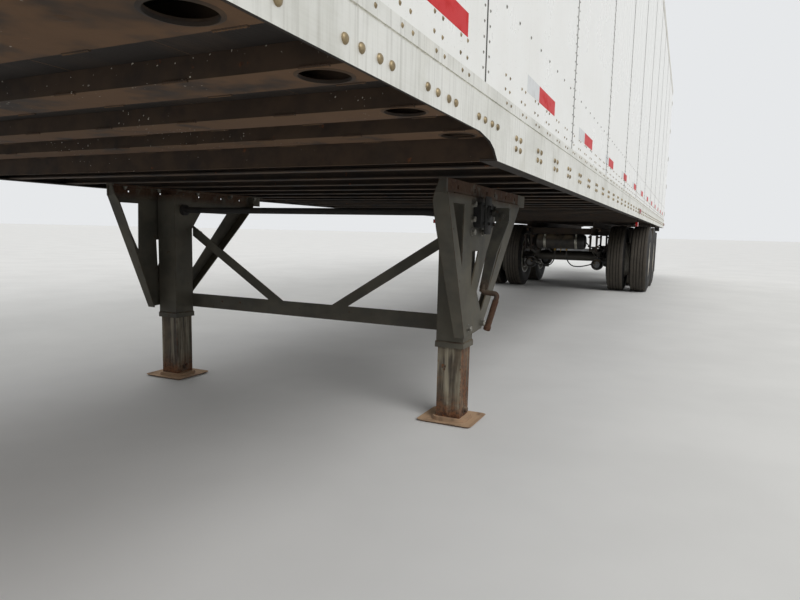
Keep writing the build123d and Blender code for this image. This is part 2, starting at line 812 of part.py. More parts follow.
# Lamps: side markers on and under the rails, header markers, and round lamps let into the sill
side_lamp_ys = [mid_lamp_y, frame_front_y - rear_lamp_gap]
header_lamp_x = half_width - header_lamp_inset
header_lamp_xs = [-header_lamp_x, -header_lamp_spacing, 0.0, header_lamp_spacing, header_lamp_x]
with BuildPart() as lamps:
    for side in sides.values():
        side_lamp_z = rail_bottom + rail_web_height / 2
        with BuildSketch(along(side * (half_width + seat_gap))):
            with Locations(*[(y, side_lamp_z) for y in side_lamp_ys]):
                RectangleRounded(side_lamp_length, side_lamp_height, side_lamp_corner)
        extrude(amount=side * (lamp_proud - seat_gap))
        with BuildSketch(along(side * (hung_plate_x + hung_plate_sheet + seat_gap))):
            with Locations((hung_lamp_y, hung_top - hung_lamp_drop)):
                RectangleRounded(hung_lamp_length, hung_lamp_height, hung_lamp_corner)
        extrude(amount=side * hung_lamp_depth)
        with BuildSketch(across(frame_rear_y - lamp_proud + seat_gap)):
            with Locations(*[(side * x, lamp_z) for x in round_lamp_xs]):
                Circle(round_lamp_radius)
        extrude(amount=-lamp_proud)
        with BuildSketch(across(front_skin_y - seat_gap)):
            with Locations((side * header_lamp_x, top_rail_top - top_rail_height / 2)):
                RectangleRounded(header_lamp_length, header_lamp_height, header_lamp_corner)
        extrude(amount=lamp_proud)
    with BuildSketch(across(frame_rear_y + seat_gap)):
        with Locations(*[(x, (header_bottom + top_rail_top) / 2) for x in header_lamp_xs]):
            RectangleRounded(header_lamp_length, header_lamp_height, header_lamp_corner)
    extrude(amount=-lamp_proud)
save(lamps.part, "lamps")

# Service panel on the front wall, with two air couplings and the electric socket
with BuildPart() as service_panel:
    panel_face_y = front_skin_y + rail_lip_inset - seat_gap
    with BuildSketch(across(panel_face_y)):
        with Locations((0, service_z)):
            RectangleRounded(service_width, service_height, service_corner)
    extrude(amount=service_depth)
    with BuildSketch(across(panel_face_y - service_depth)):
        with Locations((gladhand_x, service_z), (-gladhand_x, service_z)):
            Circle(gladhand_radius)
        with Locations((0, service_z)):
            Circle(socket_radius)
    extrude(amount=panel_face_y - service_depth - nose_y)
save(service_panel.part, "service_panel")

# Landing gear: outer boxes with a collar round the foot of each
with BuildPart() as leg_boxes:
    for side in sides.values():
        with BuildSketch(level(leg_box_bottom)):
            with Locations((side * leg_x, leg_y)):
                Rectangle(leg_box, leg_box)
        extrude(amount=leg_box_top - leg_box_bottom)
        with BuildSketch(level(leg_box_bottom)):
            with Locations((side * leg_x, leg_y)):
                Rectangle(leg_box + 2 * leg_collar, leg_box + 2 * leg_collar)
        extrude(amount=leg_collar_height)
        with BuildSketch(level(leg_box_bottom)):
            with Locations((side * leg_x, leg_y)):
                Rectangle(leg_box - 2 * leg_box_wall, leg_box - 2 * leg_box_wall)
        extrude(amount=leg_box_top - leg_box_bottom - leg_box_wall, mode=Mode.SUBTRACT)
save(leg_boxes.part, "leg_boxes")

# Inner tubes sliding in the boxes, resting on the pins of the sand shoes
tube_bottom = shoe_thickness + shoe_boss_height + seat_gap
with BuildPart() as leg_tubes:
    for side in sides.values():
        with BuildSketch(level(tube_bottom)):
            with Locations((side * leg_x, leg_y)):
                Rectangle(leg_tube, leg_tube)
                Rectangle(
                    leg_tube - 2 * leg_tube_wall, leg_tube - 2 * leg_tube_wall, mode=Mode.SUBTRACT,
                )
        extrude(amount=leg_tube_top - tube_bottom)
        with BuildSketch(level(tube_bottom)):
            with Locations((side * leg_x, leg_y)):
                Rectangle(leg_tube, leg_tube)
        extrude(amount=leg_tube_wall)
save(leg_tubes.part, "leg_tubes")

# Sand shoes: square dished plates, pressed up in the middle where the leg stands
with BuildPart() as sand_shoes:
    for side in sides.values():
        with BuildSketch(level(0)):
            with Locations((side * leg_x, leg_y)):
                RectangleRounded(shoe_width - 2 * shoe_lip, shoe_length - 2 * shoe_lip, shoe_lip)
        with BuildSketch(level(shoe_rim_height)):
            with Locations((side * leg_x, leg_y)):
                RectangleRounded(shoe_width, shoe_length, 2 * shoe_lip)
        loft()
        with BuildSketch(level(shoe_thickness)):
            with Locations((side * leg_x, leg_y)):
                dish_width = shoe_width - 3 * shoe_lip
                RectangleRounded(dish_width, shoe_length - 3 * shoe_lip, shoe_lip)
        with BuildSketch(level(shoe_rim_height + seat_gap)):
            with Locations((side * leg_x, leg_y)):
                brim_width = shoe_width - shoe_thickness
                RectangleRounded(brim_width, shoe_length - shoe_thickness, 2 * shoe_lip)
        loft(mode=Mode.SUBTRACT)
        with BuildSketch(level(shoe_thickness)):
            with Locations((side * leg_x, leg_y)):
                RectangleRounded(shoe_boss_width, shoe_boss_width, shoe_boss_corner)
        extrude(amount=shoe_boss_height, taper=shoe_boss_slope)
save(sand_shoes.part, "sand_shoes")

# Pressed wing brackets: a plate with windows, its front and rear edges folded to the leg


def bracket_corner(corner):
    """Place in the trailer of a corner given behind the leg and down from the bracket's top."""
    return (leg_y + corner[0], bracket_top - corner[1])


bracket_outline = [
    bracket_corner(bracket_head_front), bracket_corner(bracket_foot_front),
    bracket_corner(bracket_foot_rear), bracket_corner(bracket_head_rear),
]
folded_edges = [
    (bracket_outline[0], bracket_outline[1], bracket_sheet),
    (bracket_outline[3], bracket_outline[2], -bracket_sheet),
]
plate_inner_x = bracket_x - bracket_sheet
angle_top = beam_bottom - seat_gap
angle_profile = [
    (plate_inner_x, bracket_top),
    (plate_inner_x, angle_top),
    (plate_inner_x - angle_leg, angle_top),
    (plate_inner_x - angle_leg, angle_top - angle_sheet),
    (plate_inner_x - angle_sheet, angle_top - angle_sheet),
    (plate_inner_x - angle_sheet, bracket_top - angle_sheet),
    (plate_inner_x, bracket_top - angle_sheet),
]
flange_x = bracket_x - bracket_flange
flange_clear_x = flange_x - bracket_sheet
flange_head_x = bracket_x - bracket_flange_head
flange_foot_x = bracket_x - bracket_flange_foot
flange_foot_z = bracket_outline[1][1]
flange_trims = [
    [
        (flange_clear_x, angle_top + angle_sheet),
        (flange_head_x, angle_top + angle_sheet),
        (flange_head_x, angle_top),
        (flange_x, bracket_top - flange_full_from),
        (flange_clear_x, bracket_top - flange_full_from),
    ],
    [
        (flange_clear_x, bracket_top - flange_full_to),
        (flange_x, bracket_top - flange_full_to),
        (flange_foot_x, flange_foot_z),
        (flange_foot_x, flange_foot_z - angle_sheet),
        (flange_clear_x, flange_foot_z - angle_sheet),
    ],
]
spacer_zs = [bracket_outline[1][1] + spacer_low_rise, leg_box_top - spacer_high_drop]
spacer_start_x = leg_x + leg_half + seat_gap
with BuildPart() as wing_brackets:
    for side in sides.values():
        with BuildSketch(along(side * plate_inner_x)):
            with BuildLine():
                Polyline(*bracket_outline, close=True)
            make_face()
            for window in bracket_windows:
                with BuildLine():
                    Polyline(*[bracket_corner(corner) for corner in window], close=True)
                make_face(mode=Mode.SUBTRACT)
        extrude(amount=side * bracket_sheet)
        for edge_top, edge_foot, fold in folded_edges:
            with BuildSketch(along(side * flange_x)):
                with BuildLine():
                    Polyline(
                        (edge_top[0], angle_top),
                        edge_top,
                        edge_foot,
                        (edge_foot[0] + fold, edge_foot[1]),
                        (edge_top[0] + fold, edge_top[1]),
                        (edge_top[0] + fold, angle_top),
                        close=True,
                    )
                make_face()
            extrude(amount=side * (bracket_flange - bracket_sheet))
        for trim in flange_trims:
            with BuildSketch(across(leg_y + angle_rear_reach)):
                with BuildLine():
                    Polyline(*mirrored(trim, side), close=True)
                make_face()
            extrude(amount=angle_rear_reach + angle_front_reach, mode=Mode.SUBTRACT)
        with BuildSketch(along(side * spacer_start_x)):
            with Locations(*[(leg_y, z) for z in spacer_zs]):
                Rectangle(spacer_width, spacer_height)
        extrude(amount=side * (plate_inner_x - spacer_start_x))
        with BuildSketch(across(leg_y + angle_rear_reach)):
            with BuildLine():
                Polyline(*mirrored(angle_profile, side), close=True)
            make_face()
        extrude(amount=angle_rear_reach + angle_front_reach)
        with BuildSketch(along(side * (plate_inner_x - 2 * angle_sheet))):
            with Locations(*[(leg_y + back, angle_top - angle_hole_drop)
                             for back in angle_hole_backs]):
                Rectangle(angle_hole_width, angle_hole_height)
        extrude(amount=side * 2 * angle_sheet, mode=Mode.SUBTRACT)
save(wing_brackets.part, "wing_brackets")

# Brace between the legs: a bottom angle and two diagonals bolted to the legs' backs
brace_face_y = leg_y + leg_half + seat_gap
brace_end_x = leg_x + leg_half - brace_end_inset
brace_bottom = leg_box_bottom + brace_rise
brace_bar_top = brace_bottom + brace_height
brace_head_x = leg_x - brace_head_inset
brace_head_z = leg_box_top - brace_head_drop
brace_slope = (brace_head_z - brace_bar_top) / (brace_head_x - brace_foot_x)
brace_drop = brace_band / cos(atan2(brace_slope, 1))
brace_foot_run = brace_drop / brace_slope
diagonal_outline = [
    (brace_foot_x, brace_bar_top),
    (brace_head_x, brace_head_z),
    (brace_head_x, brace_head_z - brace_drop),
    (brace_foot_x + brace_foot_run, brace_bar_top),
    (brace_foot_x + brace_foot_run, brace_bottom + brace_height / 2),
    (brace_foot_x, brace_bottom + brace_height / 2),
]
with BuildPart() as leg_brace:
    with BuildSketch(across(brace_face_y + brace_sheet)):
        with Locations((0, brace_bottom + brace_height / 2)):
            Rectangle(2 * brace_end_x, brace_height)
        for side in sides.values():
            with BuildLine():
                Polyline(*mirrored(diagonal_outline, side), close=True)
            make_face()
    extrude(amount=brace_sheet)
    with BuildSketch(across(brace_face_y + brace_depth)):
        with Locations((0, brace_bottom + brace_sheet / 2)):
            Rectangle(2 * (leg_x - leg_half), brace_sheet)
    extrude(amount=brace_depth)
save(leg_brace.part, "leg_brace")

# Cross shaft between the legs, and the gearbox on the left leg with the crank's stub
gearbox_y = leg_y + gearbox_setback
gearbox_face_x = bracket_x + seat_gap
shaft_end_x = leg_x - leg_half - seat_gap
with BuildPart() as leg_drive:
    with BuildSketch(along(-shaft_end_x)):
        with Locations((leg_y, shaft_z)):
            Circle(shaft_radius)
    extrude(amount=2 * shaft_end_x)
    with BuildSketch(along(gearbox_face_x)):
        with Locations((gearbox_y, shaft_z - gearbox_drop)):
            RectangleRounded(gearbox_width, gearbox_height, gearbox_corner)
    extrude(amount=gearbox_depth)
    with BuildSketch(along(gearbox_face_x + gearbox_depth)):
        with Locations((gearbox_y, shaft_z)):
            Circle(crank_bar_radius)
    extrude(amount=crank_stub)
save(leg_drive.part, "leg_drive")

# Folded crank: a forged head and arm hanging from the gearbox's stub, a bent bar and its grip
crank_start_x = gearbox_face_x + gearbox_depth + crank_stub + seat_gap
crank_head_middle = (
    crank_start_x + crank_head_width / 2, shaft_z + crank_head_rise - crank_head_height / 2,
)
crank_points = [(crank_start_x + out, gearbox_y, shaft_z + up) for out, up in crank_route]
bar_run = (crank_route[1][0] - crank_route[0][0], 0, crank_route[1][1] - crank_route[0][1])
grip_run = (crank_route[4][0] - crank_route[3][0], 0, crank_route[4][1] - crank_route[3][1])
with BuildPart() as crank_handle:
    with BuildSketch(across(gearbox_y + crank_arm_depth / 2)) as arm_face:
        with BuildLine():
            Polyline(*[(crank_start_x + out, shaft_z + up) for out, up in crank_arm], close=True)
        make_face()
        fillet(arm_face.vertices(), radius=crank_corner)
    extrude(amount=crank_arm_depth)
    with BuildSketch(across(gearbox_y + crank_head_depth / 2)):
        with Locations(crank_head_middle):
            RectangleRounded(crank_head_width, crank_head_height, crank_corner)
    extrude(amount=crank_head_depth)
    with BuildLine():
        FilletPolyline(*crank_points[:-1], radius=crank_bend_radius)
    with BuildSketch(Plane(origin=crank_points[0], x_dir=(0, 1, 0), z_dir=bar_run)):
        Circle(crank_bar_radius)
    sweep()
    with BuildSketch(Plane(origin=crank_points[3], x_dir=(0, 1, 0), z_dir=grip_run)):
        Circle(crank_grip_radius)
    extrude(amount=(grip_run[0] ** 2 + grip_run[2] ** 2) ** 0.5)
save(crank_handle.part, "crank_handle")

# Body rails under the cross members, I section, on which the running gear slides
body_rail_high = beam_bottom - seat_gap
body_rail_low = body_rail_high - body_rail_height
body_rail_middle_z = (body_rail_low + body_rail_high) / 2
body_rail_front = tandem_y - body_rail_lead
body_rail_rear = frame_front_y - body_rail_end_gap
body_rail_pocket = (body_rail_width - body_rail_sheet) / 2
with BuildPart() as body_rails:
    for side in sides.values():
        with BuildSketch(across(body_rail_rear)):
            with Locations((side * slider_rail_x, body_rail_middle_z)):
                Rectangle(body_rail_width, body_rail_height)
            for hand in (-1, 1):
                pocket_x = side * slider_rail_x + hand * (body_rail_sheet + body_rail_pocket) / 2
                with Locations((pocket_x, body_rail_middle_z)):
                    Rectangle(
                        body_rail_pocket,
                        body_rail_height - 2 * body_rail_sheet,
                        mode=Mode.SUBTRACT,
                    )
        extrude(amount=body_rail_rear - body_rail_front)
save(body_rails.part, "body_rails")

# Slider frame: two channels joined by cross channels, running under the body rails
slider_top = body_rail_low - slider_run_gap
slider_bottom = slider_top - slider_rail_height
slider_front_y = tandem_y - slider_length / 2
slider_rear_y = tandem_y + slider_length / 2
slider_middle_z = (slider_top + slider_bottom) / 2
cross_ys = [slider_front_y + slider_cross_width, tandem_y - axle_spacing / 4,
            tandem_y + axle_spacing / 4, slider_rear_y - slider_cross_width]
with BuildPart() as slider_frame:
    for side in sides.values():
        with BuildSketch(across(slider_rear_y)):
            with Locations((side * slider_rail_x, slider_middle_z)):
                Rectangle(slider_rail_width, slider_rail_height)
            with Locations((side * (slider_rail_x + slider_rail_sheet), slider_middle_z)):
                Rectangle(
                    slider_rail_width,
                    slider_rail_height - 2 * slider_rail_sheet,
                    mode=Mode.SUBTRACT,
                )
        extrude(amount=slider_length)
    slider_inner = slider_rail_x - slider_rail_width / 2
    with BuildSketch(along(-slider_inner)):
        for cross_y in cross_ys:
            with Locations((cross_y, slider_middle_z)):
                Rectangle(slider_cross_width, slider_rail_height - 2 * slider_rail_sheet)
            with Locations((cross_y + slider_rail_sheet, slider_middle_z)):
                Rectangle(
                    slider_cross_width,
                    slider_rail_height - 4 * slider_rail_sheet,
                    mode=Mode.SUBTRACT,
                )
    extrude(amount=2 * slider_inner)
save(slider_frame.part, "slider_frame")

# Spring hangers under the slider frame, three each side
spring_low = axle_z + axle_tube_radius + spring_seat_height + seat_gap
spring_end_low = spring_low + spring_camber
hanger_ys = [tandem_y - axle_spacing, tandem_y, tandem_y + axle_spacing]
hanger_top = slider_bottom - seat_gap
hanger_low = spring_end_low - hanger_skirt
hanger_slot_top = hanger_top - hanger_plate
with BuildPart() as spring_hangers:
    for side in sides.values():
        for hanger_y in hanger_ys:
            with BuildSketch(along(side * spring_x - hanger_width / 2)):
                with BuildLine():
                    Polyline(
                        (hanger_y - hanger_length / 2, hanger_top),
                        (hanger_y + hanger_length / 2, hanger_top),
                        (hanger_y + hanger_foot / 2, hanger_low),
                        (hanger_y - hanger_foot / 2, hanger_low),
                        close=True,
                    )
                make_face()
            extrude(amount=hanger_width)
            with BuildSketch(across(hanger_y + hanger_length)):
                slot_height = 2 * (hanger_slot_top - hanger_low)
                with Locations((side * spring_x, hanger_slot_top - slot_height / 2)):
                    Rectangle(spring_width + 2 * seat_gap, slot_height)
            extrude(amount=2 * hanger_length, mode=Mode.SUBTRACT)
save(spring_hangers.part, "spring_hangers")

# Leaf springs, bowed down over each axle, their ends inside the hangers
with BuildPart() as leaf_springs:
    for side in sides.values():
        for axle_y in axle_ys.values():
            with BuildSketch(along(side * spring_x - spring_width / 2)):
                with BuildLine():
                    front_y = axle_y - spring_half_length
                    rear_y = axle_y + spring_half_length
                    spring_end_top = spring_end_low + spring_depth / 2
                    ThreePointArc(
                        (front_y, spring_end_low), (axle_y, spring_low), (rear_y, spring_end_low),
                    )
                    Line((rear_y, spring_end_low), (rear_y, spring_end_top))
                    ThreePointArc(
                        (rear_y, spring_end_top),
                        (axle_y, spring_low + spring_depth),
                        (front_y, spring_end_top),
                    )
                    Line((front_y, spring_end_top), (front_y, spring_end_low))
                make_face()
            extrude(amount=spring_width)
save(leaf_springs.part, "leaf_springs")

# Torque rods: each from a pin between the hanger's plates to the front of the axle's spring seat
torque_pin_z = hanger_low + torque_pin_rise
with BuildPart() as torque_rods:
    for side in sides.values():
        for hanger_y, axle_y in zip(hanger_ys, axle_ys.values()):
            with BuildSketch(along(side * spring_x - spring_width / 2)):
                with Locations((hanger_y, torque_pin_z)):
                    Circle(torque_pin_radius)
            extrude(amount=spring_width)
            with BuildSketch(along(side * torque_rod_x - torque_rod_radius)):
                with Locations((hanger_y, torque_pin_z)):
                    Circle(torque_eye_radius)
            extrude(amount=2 * torque_rod_radius)
            rod_head = Vector(side * torque_rod_x, hanger_y, torque_pin_z)
            foot_y = axle_y - spring_seat_length / 2
            rod_run = Vector(side * torque_rod_x, foot_y, axle_z + torque_foot_rise) - rod_head
            with BuildSketch(Plane(origin=rod_head, x_dir=(1, 0, 0), z_dir=rod_run)):
                Circle(torque_rod_radius)
            extrude(amount=rod_run.length - torque_foot_gap)
save(torque_rods.part, "torque_rods")

# Mud flaps behind the rear wheels, each hung on an arm from the slider frame
flap_x = half_width - flap_width / 2 - flap_inset
flap_front_y = slider_rear_y - seat_gap
flap_top = slider_middle_z + flap_arm / 2
arm_inner_x = slider_rail_x - slider_rail_width / 2 + slider_rail_sheet + seat_gap
arm_outer_x = flap_x + flap_width / 2
with BuildPart() as mud_flaps:
    for side in sides.values():
        with BuildSketch(across(flap_front_y + flap_thickness)):
            with Locations((side * flap_x, (flap_bottom + flap_top) / 2)):
                Rectangle(flap_width, flap_top - flap_bottom)
        extrude(amount=flap_thickness)
        with BuildSketch(across(flap_front_y)):
            with Locations((side * (arm_inner_x + arm_outer_x) / 2, slider_middle_z)):
                Rectangle(arm_outer_x - arm_inner_x, flap_arm)
        extrude(amount=flap_arm)
save(mud_flaps.part, "mud_flaps")

# Air tank strapped under the front cross channel of the slider frame
tank_z = slider_bottom + slider_rail_sheet - seat_gap - tank_radius
with BuildPart() as air_tank:
    with BuildSketch(along(-tank_length / 2)):
        with Locations((cross_ys[0], tank_z)):
            Circle(tank_radius)
    extrude(amount=tank_length)
    fillet(air_tank.part.edges().filter_by(GeomType.CIRCLE), tank_end_radius)
save(air_tank.part, "air_tank")


def axle_plane(y):
    """Plane through an axle's middle, drawn along the axle and out from it."""
    return Plane(origin=(0, y, axle_z), x_dir=(1, 0, 0), z_dir=(0, 0, 1))


# Axles: beam, spindles, brake spiders and spring seats
spider_x = drum_inner_x - spider_gap - spider_thickness
for axle_name, axle_y in axle_ys.items():
    axle_line = Axis((0, axle_y, axle_z), (1, 0, 0))
    with BuildPart() as axle:
        with BuildSketch(axle_plane(axle_y)):
            with BuildLine():
                Polyline(
                    (-spindle_end_x, 0), (-spindle_end_x, spindle_radius),
                    (-spider_x - spider_thickness, spindle_radius),
                    (-spider_x - spider_thickness, spider_radius),
                    (-spider_x, spider_radius), (-spider_x, axle_tube_radius),
                    (spider_x, axle_tube_radius), (spider_x, spider_radius),
                    (spider_x + spider_thickness, spider_radius),
                    (spider_x + spider_thickness, spindle_radius),
                    (spindle_end_x, spindle_radius), (spindle_end_x, 0),
                    close=True,
                )
            make_face()
        revolve(axis=axle_line)
        for side in sides.values():
            with BuildSketch(along(side * spring_x - spring_width / 2)):
                with Locations((axle_y, axle_z + (axle_tube_radius + spring_seat_height) / 2)):
                    Rectangle(spring_seat_length, axle_tube_radius + spring_seat_height)
            extrude(amount=spring_width)
    save(axle.part, f"axle_{axle_name}")

# Brake chambers ahead of each axle, with bracket, push rod, lever and camshaft
with BuildPart() as brake_chambers:
    for side in sides.values():
        for axle_y in axle_ys.values():
            chamber_back_y = axle_y - chamber_reach + chamber_length
            camshaft_y = axle_y - camshaft_reach
            chamber_front_y = chamber_back_y - chamber_length
            chamber_middle = (side * chamber_x, 0, chamber_z)
            with BuildSketch(Plane(origin=chamber_middle, x_dir=(1, 0, 0), z_dir=(0, 0, 1))):
                with BuildLine():
                    Polyline(
                        (0, chamber_front_y),
                        (chamber_radius - chamber_dome, chamber_front_y),
                        (chamber_radius, chamber_front_y + chamber_dome),
                        (chamber_radius, chamber_back_y),
                        (0, chamber_back_y),
                        close=True,
                    )
                make_face()
            revolve(axis=Axis(chamber_middle, (0, 1, 0)))
            with BuildSketch(across(camshaft_y)):
                with Locations((side * chamber_x, chamber_z)):
                    Circle(push_rod_radius)
            extrude(amount=camshaft_y - chamber_back_y)
            with BuildSketch(along(side * chamber_x - lever_thickness / 2)):
                with Locations((camshaft_y, (chamber_z + axle_z) / 2)):
                    RectangleRounded(lever_width, chamber_drop + lever_width, lever_corner)
            extrude(amount=lever_thickness)
            with BuildSketch(along(side * chamber_x)):
                with Locations((camshaft_y, axle_z)):
                    Circle(camshaft_radius)
            extrude(amount=side * (spider_x - seat_gap - chamber_x))
            with BuildSketch(along(side * (chamber_x + lever_thickness))):
                with BuildLine():
                    Polyline(
                        (chamber_back_y, chamber_z - chamber_radius / 2),
                        (chamber_back_y, chamber_z + chamber_radius / 2),
                        (axle_y, axle_z + axle_tube_radius),
                        (axle_y, axle_z - axle_tube_radius),
                        close=True,
                    )
                make_face()
                with Locations((axle_y, axle_z)):
                    Circle(axle_tube_radius + seat_gap, mode=Mode.SUBTRACT)
            extrude(amount=side * chamber_bracket)
save(brake_chambers.part, "brake_chambers")


def bend_radii(points):
    """Radius at each corner of a route, as large as its two runs allow."""
    runs = [Vector(after) - Vector(before) for before, after in zip(points[:-1], points[1:])]
    return [
        0.45 * min(run.length, next_run.length) / tan(radians(run.get_angle(next_run)) / 2)
        for run, next_run in zip(runs[:-1], runs[1:])
    ]


# Air hoses, each leaving the tank and ending at the front of a brake chamber
with BuildPart() as air_hoses:
    for side in sides.values():
        for axle_name, axle_y in axle_ys.items():
            hose_points = [
                (side * across_x, axle_y + back, axle_z + rise)
                for across_x, back, rise in hose_routes[axle_name]
            ]
            with BuildLine():
                FilletPolyline(*hose_points, radius=bend_radii(hose_points))
            first_run = Vector(hose_points[1]) - Vector(hose_points[0])
            with BuildSketch(Plane(origin=hose_points[0], z_dir=first_run)):
                Circle(hose_radius)
            sweep()
save(air_hoses.part, "air_hoses")


def place_ring(points, middle_x, side):
    """Profile points given as place out from a middle and radius, put on the side asked for."""
    return [(side * (middle_x + out), radius) for out, radius in points]


# Road tyre, made once: a many-sided ring with bevelled shoulders and dished flanks
with BuildPart() as tyre:
    with BuildSketch(Plane.YZ):
        for apothem, mode in ((tyre_radius, Mode.ADD), (bead_radius, Mode.SUBTRACT)):
            RegularPolygon(
                apothem, tyre_facets, major_radius=False, rotation=180 / tyre_facets, mode=mode,
            )
    extrude(amount=tyre_half_width, both=True)
    for end in (0, -1):
        for outer in (True, False):
            flank = tyre.faces().sort_by(Axis.X)[end]
            wire = flank.outer_wire() if outer else flank.inner_wires()[0]
            down = tyre_radius - tyre_side_radius if outer else tyre_flank_radius - bead_radius
            inward = tyre_half_width - (tread_half_width if outer else bead_half_width)
            chamfer(wire.edges(), length=down, length2=inward, reference=flank)

# Twin wheels: two tyres as one node, and both rims with hub and drum as another
barrel_radius = bead_radius - seat_gap
rim_inner_radius = bead_radius - rim_sheet
rim_flange_radius = bead_radius + rim_flange
rim_near = dual_offset - rim_half_width
rim_far = dual_offset + rim_half_width
rim_profile = [
    (seat_gap / 2, pilot_radius + seat_gap),
    (disc_thickness, pilot_radius + seat_gap),
    (disc_thickness, disc_dish_radius),
    (rim_near + rim_lip, rim_inner_radius),
    (rim_far, rim_inner_radius),
    (rim_far, rim_flange_radius),
    (rim_far - rim_lip, rim_flange_radius),
    (rim_far - rim_lip, barrel_radius),
    (rim_near + rim_lip, barrel_radius),
    (rim_near + rim_lip, rim_flange_radius),
    (rim_near, rim_flange_radius),
    (rim_near, rim_inner_radius + rim_turn),
    (seat_gap / 2, disc_dish_radius + disc_turn),
]
hub_flange_x = dual_middle_x - disc_thickness - seat_gap
drum_web_x = drum_outer_x - drum_wall
hub_profile = [
    (drum_inner_x, drum_radius - drum_wall),
    (drum_inner_x, drum_radius),
    (drum_outer_x, drum_radius),
    (drum_outer_x + drum_step, hub_flange_radius),
    (hub_flange_x, hub_flange_radius),
    (hub_flange_x, pilot_radius),
    (dual_middle_x + 2 * disc_thickness, pilot_radius),
    (dual_middle_x + 3 * disc_thickness, hub_nose_radius),
    (hub_barrel_x, hub_nose_radius),
    (hub_cap_x, hub_cap_radius),
    (hub_cap_x, 0),
    (spindle_end_x + spindle_clearance, 0),
    (spindle_end_x + spindle_clearance, spindle_radius + seat_gap),
    (drum_web_x, spindle_radius + seat_gap),
    (drum_web_x, drum_radius - drum_wall),
]
for axle_name, axle_y in axle_ys.items():
    axle_line = Axis((0, axle_y, axle_z), (1, 0, 0))
    for side_name, side in sides.items():
        with BuildPart() as tyres:
            with Locations(*[(side * (dual_middle_x + offset_x), axle_y, axle_z)
                             for offset_x in (-dual_offset, dual_offset)]):
                add(tyre.part)
        save(tyres.part, f"tyres_{axle_name}_{side_name}")

        with BuildPart() as wheels:
            for hand in (-1, 1):
                with BuildSketch(axle_plane(axle_y)):
                    with BuildLine():
                        turned = [(hand * out, radius) for out, radius in rim_profile]
                        Polyline(*place_ring(turned, dual_middle_x, side), close=True)
                    make_face()
                revolve(axis=axle_line)
            hole_middle = (side * dual_middle_x, axle_y, axle_z)
            with BuildSketch(Plane(origin=hole_middle, x_dir=(0, 1, 0), z_dir=(side, 0, 0))):
                with PolarLocations(hand_hole_circle, hand_hole_count):
                    Circle(hand_hole_radius)
            extrude(amount=2 * disc_thickness, both=True, mode=Mode.SUBTRACT)
            with BuildSketch(axle_plane(axle_y)):
                with BuildLine():
                    Polyline(*place_ring(hub_profile, 0, side), close=True)
                make_face()
            revolve(axis=axle_line)
        save(wheels.part, f"wheels_{axle_name}_{side_name}")

# Underride guard: a box bar on two struts from the rear sill
strut_top = sill_bottom - seat_gap
with BuildPart() as underride_guard:
    with BuildSketch(along(-guard_half_length)):
        with Locations((guard_y, guard_top - guard_size / 2)):
            Rectangle(guard_size, guard_size)
            Rectangle(guard_size - 2 * guard_wall, guard_size - 2 * guard_wall, mode=Mode.SUBTRACT)
    extrude(amount=2 * guard_half_length)
    for side in sides.values():
        with BuildSketch(level(guard_top)):
            with Locations((side * guard_strut_x, guard_y)):
                Rectangle(guard_strut_width, guard_size)
        extrude(amount=strut_top - guard_top)
save(underride_guard.part, "underride_guard")

# Dock bumpers on the rear sill
bumper_depth = tail_y - frame_rear_y - seat_gap
with BuildPart() as dock_bumpers:
    for side in sides.values():
        with BuildSketch(across(frame_rear_y + seat_gap)):
            bumper_z = floor_top - bumper_top_gap - bumper_height / 2
            with Locations((side * bumper_x, bumper_z)):
                Rectangle(bumper_width, bumper_height)
        extrude(amount=-bumper_depth)
save(dock_bumpers.part, "dock_bumpers")

# Rear doors: plain leaves hung on the posts
door_inner_y = frame_rear_y + door_proud - door_thickness
door_outer_y = frame_rear_y + door_proud
door_edge_x = post_inner_x - swing_gap
leaf_width = door_edge_x - swing_gap
for side_name, side in sides.items():
    with BuildPart() as door:
        with BuildSketch(level(door_bottom)):
            leaf_x = side * (swing_gap + leaf_width / 2)
            with Locations((leaf_x, (door_inner_y + door_outer_y) / 2)):
                Rectangle(leaf_width, door_thickness)
        extrude(amount=door_top - door_bottom)
    save(door.part, f"door_{side_name}")

